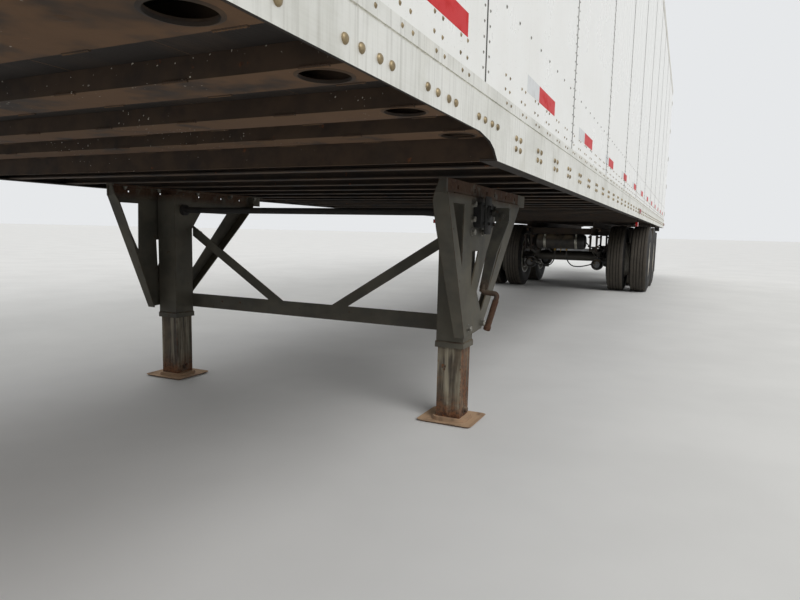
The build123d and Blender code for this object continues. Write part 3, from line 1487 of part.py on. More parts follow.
# Door hardware: hinge straps with barrels, and a lock rod with cams, guides and handle
strap_inner_x = hinge_pin_x - hinge_strap_length
rod_y = door_outer_y + lock_rod_standoff
rod_low = sill_bottom + lock_rod_low_gap
rod_high = top_rail_top - lock_rod_high_gap
hinge_zs = spread(door_bottom + hinge_low_rise, door_top - hinge_high_drop, hinge_count)
guide_zs = spread(
    door_bottom + rod_guide_low_rise, door_top - rod_guide_high_drop, rod_guide_count,
)
for side_name, side in sides.items():
    with BuildPart() as door_hardware:
        for hinge_z in hinge_zs:
            with BuildSketch(level(hinge_z - hinge_strap_height / 2)):
                with Locations((side * hinge_pin_x, hinge_pin_y)):
                    Circle(hinge_barrel_radius)
                strap_x = side * (strap_inner_x + hinge_pin_x) / 2
                with Locations((strap_x, hinge_pin_y - hinge_strap_thickness / 2)):
                    Rectangle(hinge_pin_x - strap_inner_x, hinge_strap_thickness)
            extrude(amount=hinge_strap_height)
        with BuildSketch(level(rod_low)):
            with Locations((side * lock_rod_x, rod_y)):
                Circle(lock_rod_radius)
        extrude(amount=rod_high - rod_low)
        for cam_z in (rod_low, rod_high - cam_height):
            with BuildSketch(level(cam_z)):
                with Locations((side * lock_rod_x, rod_y - cam_width / 4)):
                    Rectangle(cam_width, cam_width)
            extrude(amount=cam_height)
        for guide_z in guide_zs:
            with BuildSketch(level(guide_z - rod_guide_height / 2)):
                with Locations((side * lock_rod_x, (door_outer_y + seat_gap + rod_y) / 2)):
                    Rectangle(rod_guide_width, rod_y - door_outer_y - seat_gap)
            extrude(amount=rod_guide_height)
        with BuildSketch(level(handle_height - handle_hub / 2)):
            with Locations((side * lock_rod_x, rod_y)):
                Rectangle(handle_hub, handle_hub)
        extrude(amount=handle_hub)
        with BuildSketch(along(side * (lock_rod_x + handle_hub / 2))):
            with Locations((rod_y, handle_height)):
                Rectangle(handle_thickness, handle_width)
        extrude(amount=side * handle_length)
    save(door_hardware.part, f"door_hardware_{side_name}")

# Rear fittings on the frame: hinge ears round each strap, and keepers beside the cams
ear_inner_x = post_outer_x - hinge_ear_foot
ear_seat_y = frame_rear_y + seat_gap
ear_outline = [
    (ear_inner_x, ear_seat_y),
    (post_outer_x, ear_seat_y),
    (hinge_pin_x + hinge_barrel_radius, hinge_pin_y),
    (hinge_pin_x, hinge_pin_y + hinge_barrel_radius),
    (ear_inner_x, ear_seat_y + hinge_strap_thickness),
]
ear_rise = hinge_strap_height / 2 + hinge_ear_gap
keeper_half = cam_width / 2 + keeper_gap
with BuildPart() as rear_fittings:
    for side in sides.values():
        for hinge_z in hinge_zs:
            for ear_z in (hinge_z + ear_rise, hinge_z - ear_rise - hinge_ear_thickness):
                with BuildSketch(level(ear_z)):
                    with BuildLine():
                        Polyline(*mirrored(ear_outline, side), close=True)
                    make_face()
                extrude(amount=hinge_ear_thickness)
        for keeper_z in (rod_low + cam_height / 2, rod_high - cam_height / 2):
            for hand in (-1, 1):
                keeper_x = side * lock_rod_x + hand * (keeper_half + keeper_wall / 2)
                with BuildSketch(level(keeper_z - keeper_height / 2)):
                    with Locations((keeper_x, (frame_rear_y + seat_gap + rod_y) / 2)):
                        Rectangle(keeper_wall, rod_y - frame_rear_y - seat_gap)
                extrude(amount=keeper_height)
save(rear_fittings.part, "rear_fittings")
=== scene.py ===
import logging
import math
from dataclasses import dataclass
from enum import Enum
from functools import cached_property
from typing import Iterable

import bpy
import numpy as np
from mathutils import Matrix, Vector
from mathutils.geometry import tessellate_polygon


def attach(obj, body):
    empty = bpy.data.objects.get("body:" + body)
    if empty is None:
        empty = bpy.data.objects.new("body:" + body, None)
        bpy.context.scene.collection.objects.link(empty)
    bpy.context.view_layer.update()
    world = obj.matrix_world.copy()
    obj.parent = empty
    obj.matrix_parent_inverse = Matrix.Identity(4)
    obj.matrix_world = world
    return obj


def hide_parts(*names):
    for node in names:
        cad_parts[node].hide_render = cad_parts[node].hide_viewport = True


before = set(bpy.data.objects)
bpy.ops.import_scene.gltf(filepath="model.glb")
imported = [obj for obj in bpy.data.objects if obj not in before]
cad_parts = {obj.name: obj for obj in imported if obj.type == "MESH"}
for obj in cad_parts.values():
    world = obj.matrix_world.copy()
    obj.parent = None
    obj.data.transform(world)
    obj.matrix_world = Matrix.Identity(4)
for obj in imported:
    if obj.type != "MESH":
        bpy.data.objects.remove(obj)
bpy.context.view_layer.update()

log = logging.getLogger("trailer")

Triple = tuple[float, float, float]
Row = tuple[float, ...]
Rings = Iterable[tuple[float, float]]
Sockets = dict[str, object]
MM = 0.001
SIDES = {"left": 1.0, "right": -1.0}
AXLES = {"front": 3.172, "rear": 4.417}
OUT, AHEAD, BACK = (1, 0, 0), (0, -1, 0), (0, 1, 0)
UP, DOWN = (0, 0, 1), (0, 0, -1)


class Grain(Enum):
    """Axis along which a metal was drawn, as the pattern's squeeze."""

    LONG = (1.0, 0.02, 1.0)
    WIDE = (0.02, 1.0, 1.0)
    TALL = (1.0, 1.0, 0.02)
    NONE = (1.0, 1.0, 1.0)


# Materials


def srgb(code: str) -> tuple[float, float, float, float]:
    """Turn an sRGB hex colour into linear light.

    Args:
        code: Colour as six hex digits.

    Returns:
        Red, green and blue in linear light, and an alpha of one.
    """
    parts = [int(code[i:i + 2], 16) / 255 for i in (0, 2, 4)]
    linear = [c / 12.92 if c <= 0.04045 else ((c + 0.055) / 1.055) ** 2.4 for c in parts]
    return (*linear, 1.0)


@dataclass(frozen=True)
class Field:
    """Number or colour that varies over a surface: one node's output, open to arithmetic."""

    nodes: "Nodes"
    socket: bpy.types.NodeSocket

    def math(self, operation: str, *others: object) -> "Field":
        """Number worked out from this one and others."""
        return self.nodes.add("Math", (self, *others), operation=operation)

    def __add__(self, other: object) -> "Field":
        """Sum of two numbers."""
        return self.math("ADD", other)

    def __sub__(self, other: object) -> "Field":
        """Difference of two numbers."""
        return self.math("SUBTRACT", other)

    def __mul__(self, other: object) -> "Field":
        """Product of two numbers."""
        return self.math("MULTIPLY", other)

    def __or__(self, other: object) -> "Field":
        """Greater of two numbers, which joins two masks."""
        return self.math("MAXIMUM", other)

    def __gt__(self, other: object) -> "Field":
        """One where this number is above the other."""
        return self.math("GREATER_THAN", other)

    def __lt__(self, other: object) -> "Field":
        """One where this number is below the other."""
        return self.math("LESS_THAN", other)


class Nodes:
    """Node tree of one material or of the world, emptied, with the patterns that finishes share."""

    def __init__(self, tree: bpy.types.NodeTree) -> None:
        """Empty the tree and keep it."""
        tree.nodes.clear()
        self.tree = tree

    def add(
        self, kind: str, inputs: dict | tuple = (), output: str | int = 0, **settings: object,
    ) -> Field:
        """Add one node with its settings, values and links.

        Args:
            kind: Blender's name for the node's type, without its first word.
            inputs: Inputs in order, or by name or number, each a value or the field that feeds it.
            output: Name or number of the output that is wanted.
            settings: Attributes of the node and their values.

        Returns:
            The output as a field.
        """
        node = self.tree.nodes.new("ShaderNode" + kind)
        for name, value in settings.items():
            setattr(node, name, value)
        for key, value in inputs.items() if isinstance(inputs, dict) else enumerate(inputs):
            if isinstance(value, Field):
                self.tree.links.new(value.socket, node.inputs[key])
            else:
                node.inputs[key].default_value = value
        return Field(self, node.outputs[output])

    def close(self, kind: str, surface: Field) -> None:
        """Lead a shader to the output of a material or of the world."""
        self.tree.links.new(surface.socket, self.tree.nodes.new("ShaderNode" + kind).inputs["Surface"])

    @cached_property
    def place(self) -> Field:
        """Object coordinates in metres."""
        return self.add("TexCoord", (), "Object")

    @cached_property
    def along(self) -> dict[str, Field]:
        """Object coordinates in metres, by axis."""
        outputs = self.add("SeparateXYZ", (self.place,)).socket.node.outputs
        return {axis: Field(self, outputs[axis]) for axis in "XYZ"}

    @cached_property
    def facing(self) -> dict[str, Field]:
        """Direction in which the surface faces, by axis."""
        normal = self.add("NewGeometry", (), "Normal")
        outputs = self.add("SeparateXYZ", (normal,)).socket.node.outputs
        return {axis: Field(self, outputs[axis]) for axis in "XYZ"}

    def coats(self, colour: str | Field, *layers: tuple[Field, str | Field]) -> Field:
        """Lay colours over one another, each where its mask is white.

        Args:
            colour: Colour underneath, as a hex code or a field.
            layers: Mask and colour of each coat, from the lowest.

        Returns:
            The colour that shows.
        """
        for mask, coat in layers:
            first, second = (srgb(c) if isinstance(c, str) else c for c in (colour, coat))
            colour = self.add("Mix", {0: mask, 6: first, 7: second}, 2, data_type="RGBA")
        return colour

    def patches(
        self, size_mm: float, low: float, high: float, squeeze: Triple = (1.0, 1.0, 1.0),
        shift: float = 0.0, detail: float = 3.0,
    ) -> Field:
        """Mask of uneven patches: layered noise of one real size, cut softly between two levels.

        Args:
            size_mm: Size of one patch in millimetres.
            low: Noise level where the mask starts.
            high: Noise level where the mask is full.
            squeeze: Factor on each axis, small where the patches are drawn out.
            shift: Distance by which the pattern is moved, so that two masks differ.
            detail: Number of finer layers in the noise.

        Returns:
            The mask, from zero to one.
        """
        place = {"Vector": self.place, "Location": (shift, 2 * shift, 3 * shift), "Scale": squeeze}
        noise = self.add("TexNoise", {
            "Vector": self.add("Mapping", place), "Scale": 1 / (size_mm * MM), "Detail": detail,
            "Roughness": 0.62})
        return self.add("MapRange", (noise, low, high), interpolation_type="SMOOTHSTEP")


@dataclass(frozen=True)
class Finish:
    """What every surface has: its material's name, and how it is turned into nodes."""

    name: str

    def dress(self, nodes: Nodes) -> Sockets:
        """Inputs of the shader for this finish; each kind of finish has its own."""
        raise NotImplementedError

    def material(self) -> bpy.types.Material:
        """Material of this finish, made once and then found again by its name.

        Returns:
            The Blender material.
        """
        made = bpy.data.materials.get(self.name)
        if made is None:
            made = bpy.data.materials.new(self.name)
            made.use_nodes = True
            nodes = Nodes(made.node_tree)
            nodes.close("OutputMaterial", nodes.add("BsdfPrincipled", self.dress(nodes)))
        return made


@dataclass(frozen=True)
class WornPaint(Finish):
    """Oil paint or wax coat on steel: mottled, dusty on top, rusting in patches."""

    paint: str
    shade: str
    dust: str = "8F7F68"
    rust: str = "6B3F24"
    roughness: float = 0.62
    mottle_mm: float = 120.0
    rust_mm: float = 45.0
    rust_start: float = 0.62
    dust_above: float = 0.7
    dust_and_bounce_below: float = 0.0
    dust_start: float = 0.42
    speck_mm: float = 0.0
    edge_mm: float = 0.0
    rust_over: float | None = None
    rust_under: float | None = None
    rust_span: tuple[float, float] = (-99.0, 99.0)
    rub_share: float = 0.0
    rust_outward: float = 0.0
    relief_mm: float = 9.0
    relief_depth: float = 0.5

    def dress(self, nodes: Nodes) -> Sockets:
        """Layer two paint tones, then rust in patches, zones and on edges, then dust by slope, where the
        lightening of down-facing faces is partly painted bounce light from the ground.

        Args:
            nodes: Node tree of the material.

        Returns:
            Inputs of the shader.
        """
        colour = nodes.coats(self.paint, (nodes.patches(self.mottle_mm, 0.36, 0.66), self.shade))
        if self.rub_share > 0:
            rubbed = nodes.patches(30.0, 0.42, 0.7, (1.0, 1.0, 0.08), 6.6) * self.rub_share
            colour = nodes.coats(colour, (rubbed, "A39B86"))
        rusted = nodes.patches(
            self.rust_mm, self.rust_start, self.rust_start + 0.07, shift=3.1, detail=6.0)
        if self.rust_outward > 0:
            outer = nodes.along["X"] * nodes.facing["X"] > 0.3
            runs = nodes.patches(40.0, 0.32, 0.54, (1.0, 1.0, 0.12), 8.1) * self.rust_outward
            rusted = rusted | outer * runs
        for limit, fade in ((self.rust_over, 0.02), (self.rust_under, -0.06)):
            if limit is not None:
                height, along = nodes.along["Z"], nodes.along["Y"]
                zone = nodes.add("MapRange", (height, limit - fade, limit + fade))
                zone = zone * ((along > self.rust_span[0]) * (along < self.rust_span[1]))
                rusted = rusted | zone * nodes.patches(60.0, 0.28, 0.5, shift=4.9, detail=6.0)
        if self.edge_mm > 0:
            rounded = nodes.add("Bevel", {"Radius": self.edge_mm * MM}, samples=4)
            true = nodes.add("NewGeometry", (), "True Normal")
            along = nodes.add("VectorMath", (rounded, true), "Value", operation="DOT_PRODUCT")
            edge = nodes.add("MapRange", (along, 0.99, 0.86), interpolation_type="SMOOTHSTEP")
            rusted = rusted | edge * nodes.patches(26.0, 0.40, 0.56, shift=5.7, detail=5.0)
        slope = nodes.facing["Z"]
        above = nodes.add("MapRange", (slope, 0.1, 0.9, 0.0, self.dust_above))
        # Down-facing faces lightened: partly road dust, partly painted bounce light from the ground
        below = nodes.add("MapRange", (slope, -0.3, -0.9, 0.0, self.dust_and_bounce_below))
        cloud = nodes.patches(160.0, self.dust_start, self.dust_start + 0.22, shift=7.9)
        dusty = (above | below | 0.12) * cloud
        rust_tone = nodes.coats(self.rust, (nodes.patches(14.0, 0.35, 0.65, shift=1.3), "3A2114"))
        colour = nodes.coats(colour, (rusted, rust_tone), (dusty, self.dust))
        if self.speck_mm > 0:
            specks = nodes.patches(self.speck_mm, 0.725, 0.75, shift=9.4, detail=1.0)
            thrown = nodes.patches(420.0, 0.50, 0.58, shift=2.7, detail=2.0)
            colour = nodes.coats(colour, (specks * thrown, "C9C2B4"))
        grit = nodes.add("TexNoise", {
            "Vector": nodes.place, "Scale": 1 / (self.relief_mm * MM), "Detail": 5.0})
        return {
            "Base Color": colour, "Roughness": (rusted | dusty) * 0.3 + self.roughness,
            "Normal": nodes.add("Bump", {
                "Height": grit + rusted * 0.5, "Distance": self.relief_depth * MM, "Strength": 0.6}),
        }


@dataclass(frozen=True)
class BareMetal(Finish):
    """Rolled, drawn or cast metal: fine lines along its grain, dulled in patches, a dust film."""

    metal: str
    dull: str
    roughness: float = 0.36
    grain: Grain = Grain.NONE
    line_mm: float = 3.0
    stain_mm: float = 90.0
    dust: str = "A79B86"
    dust_start: float = 0.55
    dust_share: float = 0.3
    metallic: float = 1.0
    spangle_mm: float = 0.0
    run_share: float = 0.0
    coat_below: float | None = None

    def dress(self, nodes: Nodes) -> Sockets:
        """Mix bright and dull metal by patches and lines, then crystals, runs, dust and undercoat.

        Args:
            nodes: Node tree of the material.

        Returns:
            Inputs of the shader.
        """
        lines = nodes.patches(self.line_mm, 0.3, 0.7, self.grain.value)
        stain = nodes.patches(self.stain_mm, 0.38, 0.68, shift=2.3, detail=5.0)
        colour = nodes.coats(self.metal, (stain, self.dull))
        rough = lines * 0.16 + (self.roughness - 0.06)
        if self.spangle_mm > 0:
            scale = {"Vector": nodes.place, "Scale": 1 / (self.spangle_mm * MM), "Randomness": 1.0}
            crystals = nodes.add("TexVoronoi", scale, "Color", feature="F1")
            shade = nodes.add("SeparateXYZ", (crystals,), "X")
            rough = rough + shade * 0.14
            colour = nodes.coats(colour, (shade * 0.5, self.dull))
        if self.run_share > 0:
            runs = nodes.patches(14.0, 0.46, 0.74, (1.0, 1.0, 0.04), 8.8) * self.run_share
            colour = nodes.coats(colour, (runs, "8C8779"))
        film = nodes.patches(140.0, self.dust_start, self.dust_start + 0.25, shift=6.1)
        colour = nodes.coats(colour, (film * self.dust_share, self.dust))
        rough = rough + film * 0.25
        sheen = film * (-1.2 * self.dust_share) + self.metallic
        if self.coat_below is not None:
            inward = nodes.along["X"] * nodes.facing["X"] < 0.3
            sprayed = (nodes.along["Z"] < self.coat_below) * inward
            colour = nodes.coats(colour, (sprayed, nodes.coats("281E15", (stain, "17110C"))))
            rough = rough | sprayed * 0.8
            sheen = sheen * (sprayed * -1.0 + 1.0)
        bump = nodes.add("Bump", {"Height": lines, "Distance": 0.06 * MM, "Strength": 0.35})
        return {"Base Color": colour, "Roughness": rough, "Metallic": sheen, "Normal": bump}


@dataclass(frozen=True)
class Enamel(Finish):
    """Baked gloss enamel on flat plate: faint waves, rain streaks and road film low down."""

    paint: str = "E9E9E5"
    film: str = "BDB5A4"
    streak: str = "A7A49C"
    roughness: float = 0.27
    film_low: float = 1.25
    film_high: float = 2.3
    film_share: float = 0.13
    streak_share: float = 0.07

    def dress(self, nodes: Nodes) -> Sockets:
        """Darken a white coat with film that thins out upwards, tall streaks and specks.

        Args:
            nodes: Node tree of the material.

        Returns:
            Inputs of the shader.
        """
        height = nodes.along["Z"]
        low = nodes.add("MapRange", (height, self.film_high, self.film_low, 0.0, self.film_share))
        filmed = low * nodes.patches(260.0, 0.3, 0.72, detail=6.0)
        streaked = nodes.patches(16.0, 0.52, 0.78, (1.0, 1.0, 0.03), 4.4) * self.streak_share
        specks = nodes.patches(7.0, 0.70, 0.76, shift=8.2, detail=1.0) * 0.35
        colour = nodes.coats(
            self.paint, (filmed, self.film), (streaked, self.streak), (specks, "8E8778"))
        waves = nodes.add("TexNoise", {"Vector": nodes.place, "Scale": 2.6, "Detail": 1.0})
        return {
            "Base Color": colour, "Roughness": (filmed + streaked) * 0.5 + self.roughness, "IOR": 1.5,
            "Normal": nodes.add("Bump", {"Height": waves, "Distance": 2.0 * MM, "Strength": 0.5}),
        }


@dataclass(frozen=True)
class Rubber(Finish):
    """Moulded black rubber, greyed by weather, with road dust lying in patches."""

    base: str = "100F0F"
    grey: str = "1E1D1B"
    dust: str = "6E6455"
    dust_amount: float = 0.4
    dust_mm: float = 70.0
    roughness: float = 0.72
    tread_share: float = 0.0

    def dress(self, nodes: Nodes) -> Sockets:
        """Grey the rubber by patches and powder it with dust, a tread more than its side walls.

        Args:
            nodes: Node tree of the material.

        Returns:
            Inputs of the shader.
        """
        dusty = nodes.patches(self.dust_mm, 0.42, 0.74, shift=5.2, detail=7.0) * self.dust_amount
        aged = nodes.patches(60.0, 0.35, 0.7)
        colour = nodes.coats(self.base, (aged, self.grey), (dusty, self.dust))
        if self.tread_share > 0:
            sideways = nodes.facing["X"]
            tread = nodes.add("MapRange", (sideways * sideways, 0.6, 0.15, 0.0, self.tread_share))
            colour = nodes.coats(colour, (tread, self.dust))
        grit = nodes.add("TexNoise", {"Vector": nodes.place, "Scale": 160.0, "Detail": 4.0})
        return {
            "Base Color": colour, "Roughness": dusty * 0.3 + self.roughness,
            "Normal": nodes.add("Bump", {"Height": grit, "Distance": 0.4 * MM, "Strength": 0.5}),
        }


@dataclass(frozen=True)
class Timber(Finish):
    """Laminated hardwood boards: strips of two tones, long grain, waxed black underneath."""

    pale: str = "A27A50"
    dark: str = "6E4A2B"
    strip_mm: float = 32.0
    board_mm: float = 304.8
    joint_share: float = 0.011

    def dress(self, nodes: Nodes) -> Sockets:
        """Tint each glued strip by its own number, draw grain along the boards, part the boards.

        Args:
            nodes: Node tree of the material.

        Returns:
            Inputs of the shader.
        """
        across = nodes.along["X"]
        strip = (across * (1 / (self.strip_mm * MM))).math("FLOOR")
        drawn = nodes.add("TexWhiteNoise", {"W": strip}, noise_dimensions="1D")
        grain = nodes.patches(5.0, 0.3, 0.7, (1.0, 0.03, 1.0), detail=6.0)
        scuff = nodes.patches(220.0, 0.45, 0.7, (1.0, 0.3, 1.0), 3.7, 6.0)
        joint = (across * (1 / (self.board_mm * MM))).math("FRACT") < self.joint_share
        waxed = nodes.facing["Z"] < -0.5
        colour = nodes.coats(
            self.pale, (drawn * 0.6 + grain * 0.4, self.dark), (scuff * 0.5, "8C8273"),
            (joint, "1E150D"), (waxed, nodes.coats("1C140E", (scuff, "33261A"))))
        return {
            "Base Color": colour, "Roughness": (scuff * 0.25 + 0.45) | waxed * 0.85,
            "Normal": nodes.add("Bump", {
                "Height": grain - joint * 3.0, "Distance": 0.4 * MM, "Strength": 0.6}),
        }


@dataclass(frozen=True)
class LampLens(Finish):
    """Moulded acrylic lens with square prisms inside, amber ahead of a place and red behind it."""

    ahead: str = "C8700A"
    behind: str = "B00D0A"
    change_y: float = 0.0
    prism_mm: float = 6.0

    def dress(self, nodes: Nodes) -> Sockets:
        """Choose the colour by the place along the trailer and press prisms into the lens.

        Args:
            nodes: Node tree of the material.

        Returns:
            Inputs of the shader.
        """
        scale = {"Vector": nodes.place, "Scale": 1 / (self.prism_mm * MM), "Randomness": 0.0}
        cells = nodes.add(
            "TexVoronoi", scale, "Distance", feature="F1", distance="CHEBYCHEV")
        rear = nodes.along["Y"] > self.change_y
        return {
            "Base Color": nodes.coats(self.ahead, (rear, self.behind), (cells, "2A0604")),
            "Normal": nodes.add("Bump", {"Height": cells, "Distance": 0.8 * MM, "Strength": 0.7}),
            "Roughness": 0.22, "IOR": 1.49,
            "Coat Weight": 0.1, "Coat Roughness": 0.08, "Specular IOR Level": 0.35,
        }


@dataclass(frozen=True)
class ReflexTape(Finish):
    """Retroreflective tape: sealed honeycomb cells under a clear film, red and white by turns."""

    first: str = "C4040F"
    second: str = "D2D4D4"
    cell_mm: float = 4.0

    def dress(self, nodes: Nodes) -> Sockets:
        """Show the stripe attribute's colour through the net of cell walls and grime.

        Args:
            nodes: Node tree of the material.

        Returns:
            Inputs of the shader.
        """
        stripe = nodes.add("Attribute", (), "Fac", attribute_name="stripe")
        scale = {"Vector": nodes.place, "Scale": 1 / (self.cell_mm * MM), "Randomness": 0.15}
        cells = nodes.add("TexVoronoi", scale, "Distance", feature="DISTANCE_TO_EDGE")
        wall = nodes.add("MapRange", (cells, 0.12, 0.04))
        grime = nodes.patches(45.0, 0.45, 0.8, shift=2.9, detail=6.0)
        colour = nodes.coats(
            self.first, (stripe, self.second), (wall * 0.04, "EDEAE6"), (grime * 0.16, "5E4A40"))
        return {
            "Base Color": colour, "Roughness": grime * 0.3 + 0.45, "Specular IOR Level": 0.2,
        }


# Gloss white enamel on the wall plates: clean high up, filmed near the rail
WHITE_PANEL = Enamel("gloss_enamel")
# The same enamel on doors and front wall, which get less road film
DOOR_PANEL = Enamel("door_enamel", film_low=1.1, film_high=1.9)
# Extruded aluminium left bare: pale, satin, with long drawn lines, waxed on its hidden foot
RAIL_METAL = BareMetal(
    "drawn_aluminium", "E8E7E0", "D6D5CC", roughness=0.44, metallic=0.8, grain=Grain.LONG,
    dust_share=0.1, stain_mm=240.0, run_share=0.3, coat_below=1.17)
# The same aluminium drawn across the nose: lines run from side to side
CROSS_METAL = BareMetal(
    "drawn_aluminium_across", "E4E3DC", "D2D0C8", roughness=0.44, metallic=0.8, grain=Grain.WIDE,
    dust_share=0.12, stain_mm=240.0, run_share=0.25)
# Upright corner extrusions, a little smoother, with lines from foot to top
POST_METAL = BareMetal(
    "drawn_aluminium_upright", "E2E1DA", "CECCC4", roughness=0.42, metallic=0.8,
    grain=Grain.TALL, dust_share=0.12, stain_mm=240.0, run_share=0.2)
# Mill rolled aluminium sheet: dull, even, broad lines across the roll
ROOF_METAL = BareMetal(
    "rolled_roof_aluminium", "C9CBCC", "BEC0C0", roughness=0.46, grain=Grain.WIDE, line_mm=8.0,
    stain_mm=600.0, dust_share=0.12, metallic=0.85)
# Hot dip zinc on sheet: grey crystals the size of a thumbnail
ZINC_SHEET = BareMetal(
    "galvanised_sheet", "B4B7B8", "8D9193", roughness=0.44, spangle_mm=14.0)
# Zinc plate on forged hardware: pale with a yellow cast, dulled
ZINC_PLATE = BareMetal("zinc_plate", "BDBBB0", "8F8C80", roughness=0.42, stain_mm=40.0)
# Machined brass fittings, gone brown in the air
BRASS = BareMetal("aged_brass", "A88A4C", "6E5A34", roughness=0.40, stain_mm=12.0)
# Aluminium rivets with a gold conversion coat, warmer than the rail round them, darkened partly as painted
# shade round their heads
RIVET_METAL_SHADED = BareMetal(
    "rivet_aluminium_shaded", "9A8A6C", "6B5E48", roughness=0.46, stain_mm=30.0, dust_share=0.2,
    metallic=0.75)
# Rivets in the wall: their own paint is the wall's white; the dark grey is painted shade round their heads
RIVET_SHADE_PAINT = Enamel("rivet_enamel_painted_shade", paint="6E6B64", film="5E584B", roughness=0.4)
# Oak or maple strips glued edge to edge: warm brown above, black wax below
HARDWOOD = Timber("laminated_hardwood")
# Waxy undercoat on the coupler: near black, with pale specks and a tan lightening on what faces down,
# partly dust and partly painted bounce light
UNDERCOAT = WornPaint(
    "waxed_undercoat", "35271A", "20160E", dust="6C5036", dust_and_bounce_below=0.75, dust_start=0.30,
    rust_start=0.66, speck_mm=9.0, roughness=0.78, mottle_mm=90.0)
# The same wax on beams and slider, darker, with less dust on it and less of the painted bounce light below
BEAM_COAT = WornPaint(
    "waxed_beam_coat", "281E15", "17110C", dust="624B34", dust_and_bounce_below=0.55, dust_start=0.36,
    rust_start=0.64, roughness=0.78)
# Rolled spring steel: blue black mill scale that rusts early where leaves rub
SPRING_COAT = WornPaint(
    "spring_steel_scale", "2B2724", "1B1816", dust="7C6C57", rust_start=0.54, roughness=0.6)
# Turned forging under grease: dark, half bright, dirt stuck to it
KINGPIN_STEEL = BareMetal(
    "greased_forging", "6A6864", "3B3835", roughness=0.32, stain_mm=25.0, dust="2B2622",
    dust_start=0.42)
# Frame of hot dip steel, painted grey and chipped on its edges
FRAME_PAINT = WornPaint(
    "grey_frame_paint", "A7A9AA", "96999B", dust="9A8E7A", rust_start=0.70, roughness=0.46,
    edge_mm=4.0, relief_depth=0.25)
# Landing gear paint: olive grey, darkened partly as painted shade, dusty, brown rust on edges, in blotches
# and on the top angle
GEAR_PAINT_SHADED = WornPaint(
    "landing_gear_paint_shaded", "504D43", "3D3B34", dust="6F6450", rust="47301F", rust_start=0.64,
    edge_mm=5.0, dust_and_bounce_below=0.35, dust_start=0.36, roughness=0.7, mottle_mm=200.0,
    rust_over=1.018, rust_span=(-4.93, -3.85))
# Sliding tube of the leg: paint rubbed off in streaks, foot and outer face gone to rust
LEG_TUBE_PAINT = WornPaint(
    "leg_tube_paint", "4E4538", "332C24", dust="A08768", rust="6E4426", rust_start=0.60,
    edge_mm=9.0, roughness=0.72, rust_mm=60.0, rub_share=0.75, rust_under=0.085,
    rust_outward=0.85)
# Cast gearbox in black paint, matt with old grease and dust
GEARBOX_PAINT = WornPaint(
    "gearbox_paint", "1C1A17", "100F0D", dust="3F372C", rust_start=0.66, roughness=0.78)
# Unpainted steel bolts and pins: rough brown rust all over
RUSTY_STEEL = WornPaint(
    "rusted_steel", "574437", "3B2E26", dust="8B7861", rust="6A452E", rust_start=0.52,
    roughness=0.8, mottle_mm=40.0, rust_mm=30.0, relief_depth=0.9)
# Pressed shoe plate: scale under the tan dust of the yard, the dust made paler, partly as painted sunlight
SHOE_STEEL_SUNLIT = WornPaint(
    "dusty_shoe_plate_sunlit", "6A523D", "4A3A2C", dust="BC9C7C", rust="7A4C2E", rust_start=0.58,
    dust_above=0.95, dust_start=0.24, roughness=0.85, mottle_mm=70.0, relief_depth=0.9)
# Crank: old paint at the top, hands and weather have worn it to brown steel below
CRANK_STEEL = WornPaint(
    "worn_crank_paint", "3A382F", "292722", dust="5C523F", rust="4C3322", rust_start=0.60,
    rust_under=0.62, roughness=0.66, mottle_mm=60.0, rust_mm=30.0)
# Zinc bolt heads dulled to grey
BOLT_STEEL = BareMetal(
    "dulled_bolt_zinc", "8E8C84", "5F5B53", roughness=0.5, stain_mm=18.0, metallic=0.8)
# Black enamel on pressed tanks and chambers: a low gloss under a lid of dust
TANK_PAINT = WornPaint(
    "tank_paint", "23211F", "181716", dust="83745F", rust_start=0.68, roughness=0.42,
    dust_above=0.9)
# Black chassis paint on axles, matt, dusty above, lightened below by dust and painted bounce light,
# rusting in patches
AXLE_PAINT = WornPaint(
    "axle_paint", "2A2624", "1D1A18", dust="7D6D58", rust_start=0.58, dust_above=0.9,
    dust_and_bounce_below=0.4, roughness=0.6)
# Grey paint on sand castings: even, with the casting's grain under it
CAST_PAINT = WornPaint("cast_grey_paint", "6E7072", "5A5C5E", rust_start=0.72, roughness=0.5)
# White powder coat on pressed wheels: brake dust over it and rust at its chips
WHEEL_PAINT = WornPaint(
    "white_wheel_paint", "C8C6BF", "AFABA0", dust="8C7D68", rust="7A4A2C", rust_start=0.63,
    dust_start=0.34, dust_above=0.8, dust_and_bounce_below=0.6, roughness=0.45, relief_depth=0.2)
# Tyre rubber: near black side walls, and a tread greyed by the road
TYRE = Rubber(
    "tyre_rubber_dusty", base="0C0B0B", grey="161513", dust_amount=0.16, tread_share=0.26)
# Moulded flaps and bumpers: satin black rubber under a broad coat of dust
FLAP = Rubber("flap_rubber_moulded", dust_amount=0.55, dust_mm=120.0, roughness=0.6)
# Hose cover: smooth black rubber with a slight shine
HOSE = Rubber("hose_rubber_black", dust_amount=0.3, roughness=0.5)
# Extruded door seal and lamp rings: charcoal, cleaner than the rest
SEAL = Rubber("door_seal_rubber", base="201F1E", grey="35322F", dust_amount=0.25, roughness=0.6)
# Moulded acrylic: glossy, with prisms that catch the light
LENS = LampLens("acrylic_lens")
# Retroreflective film: flat even colour in daylight; its 0.3 mm cells are drawn at 4 mm to show
TAPE = ReflexTape("reflective_tape")


# Forms: points and faces as whole arrays


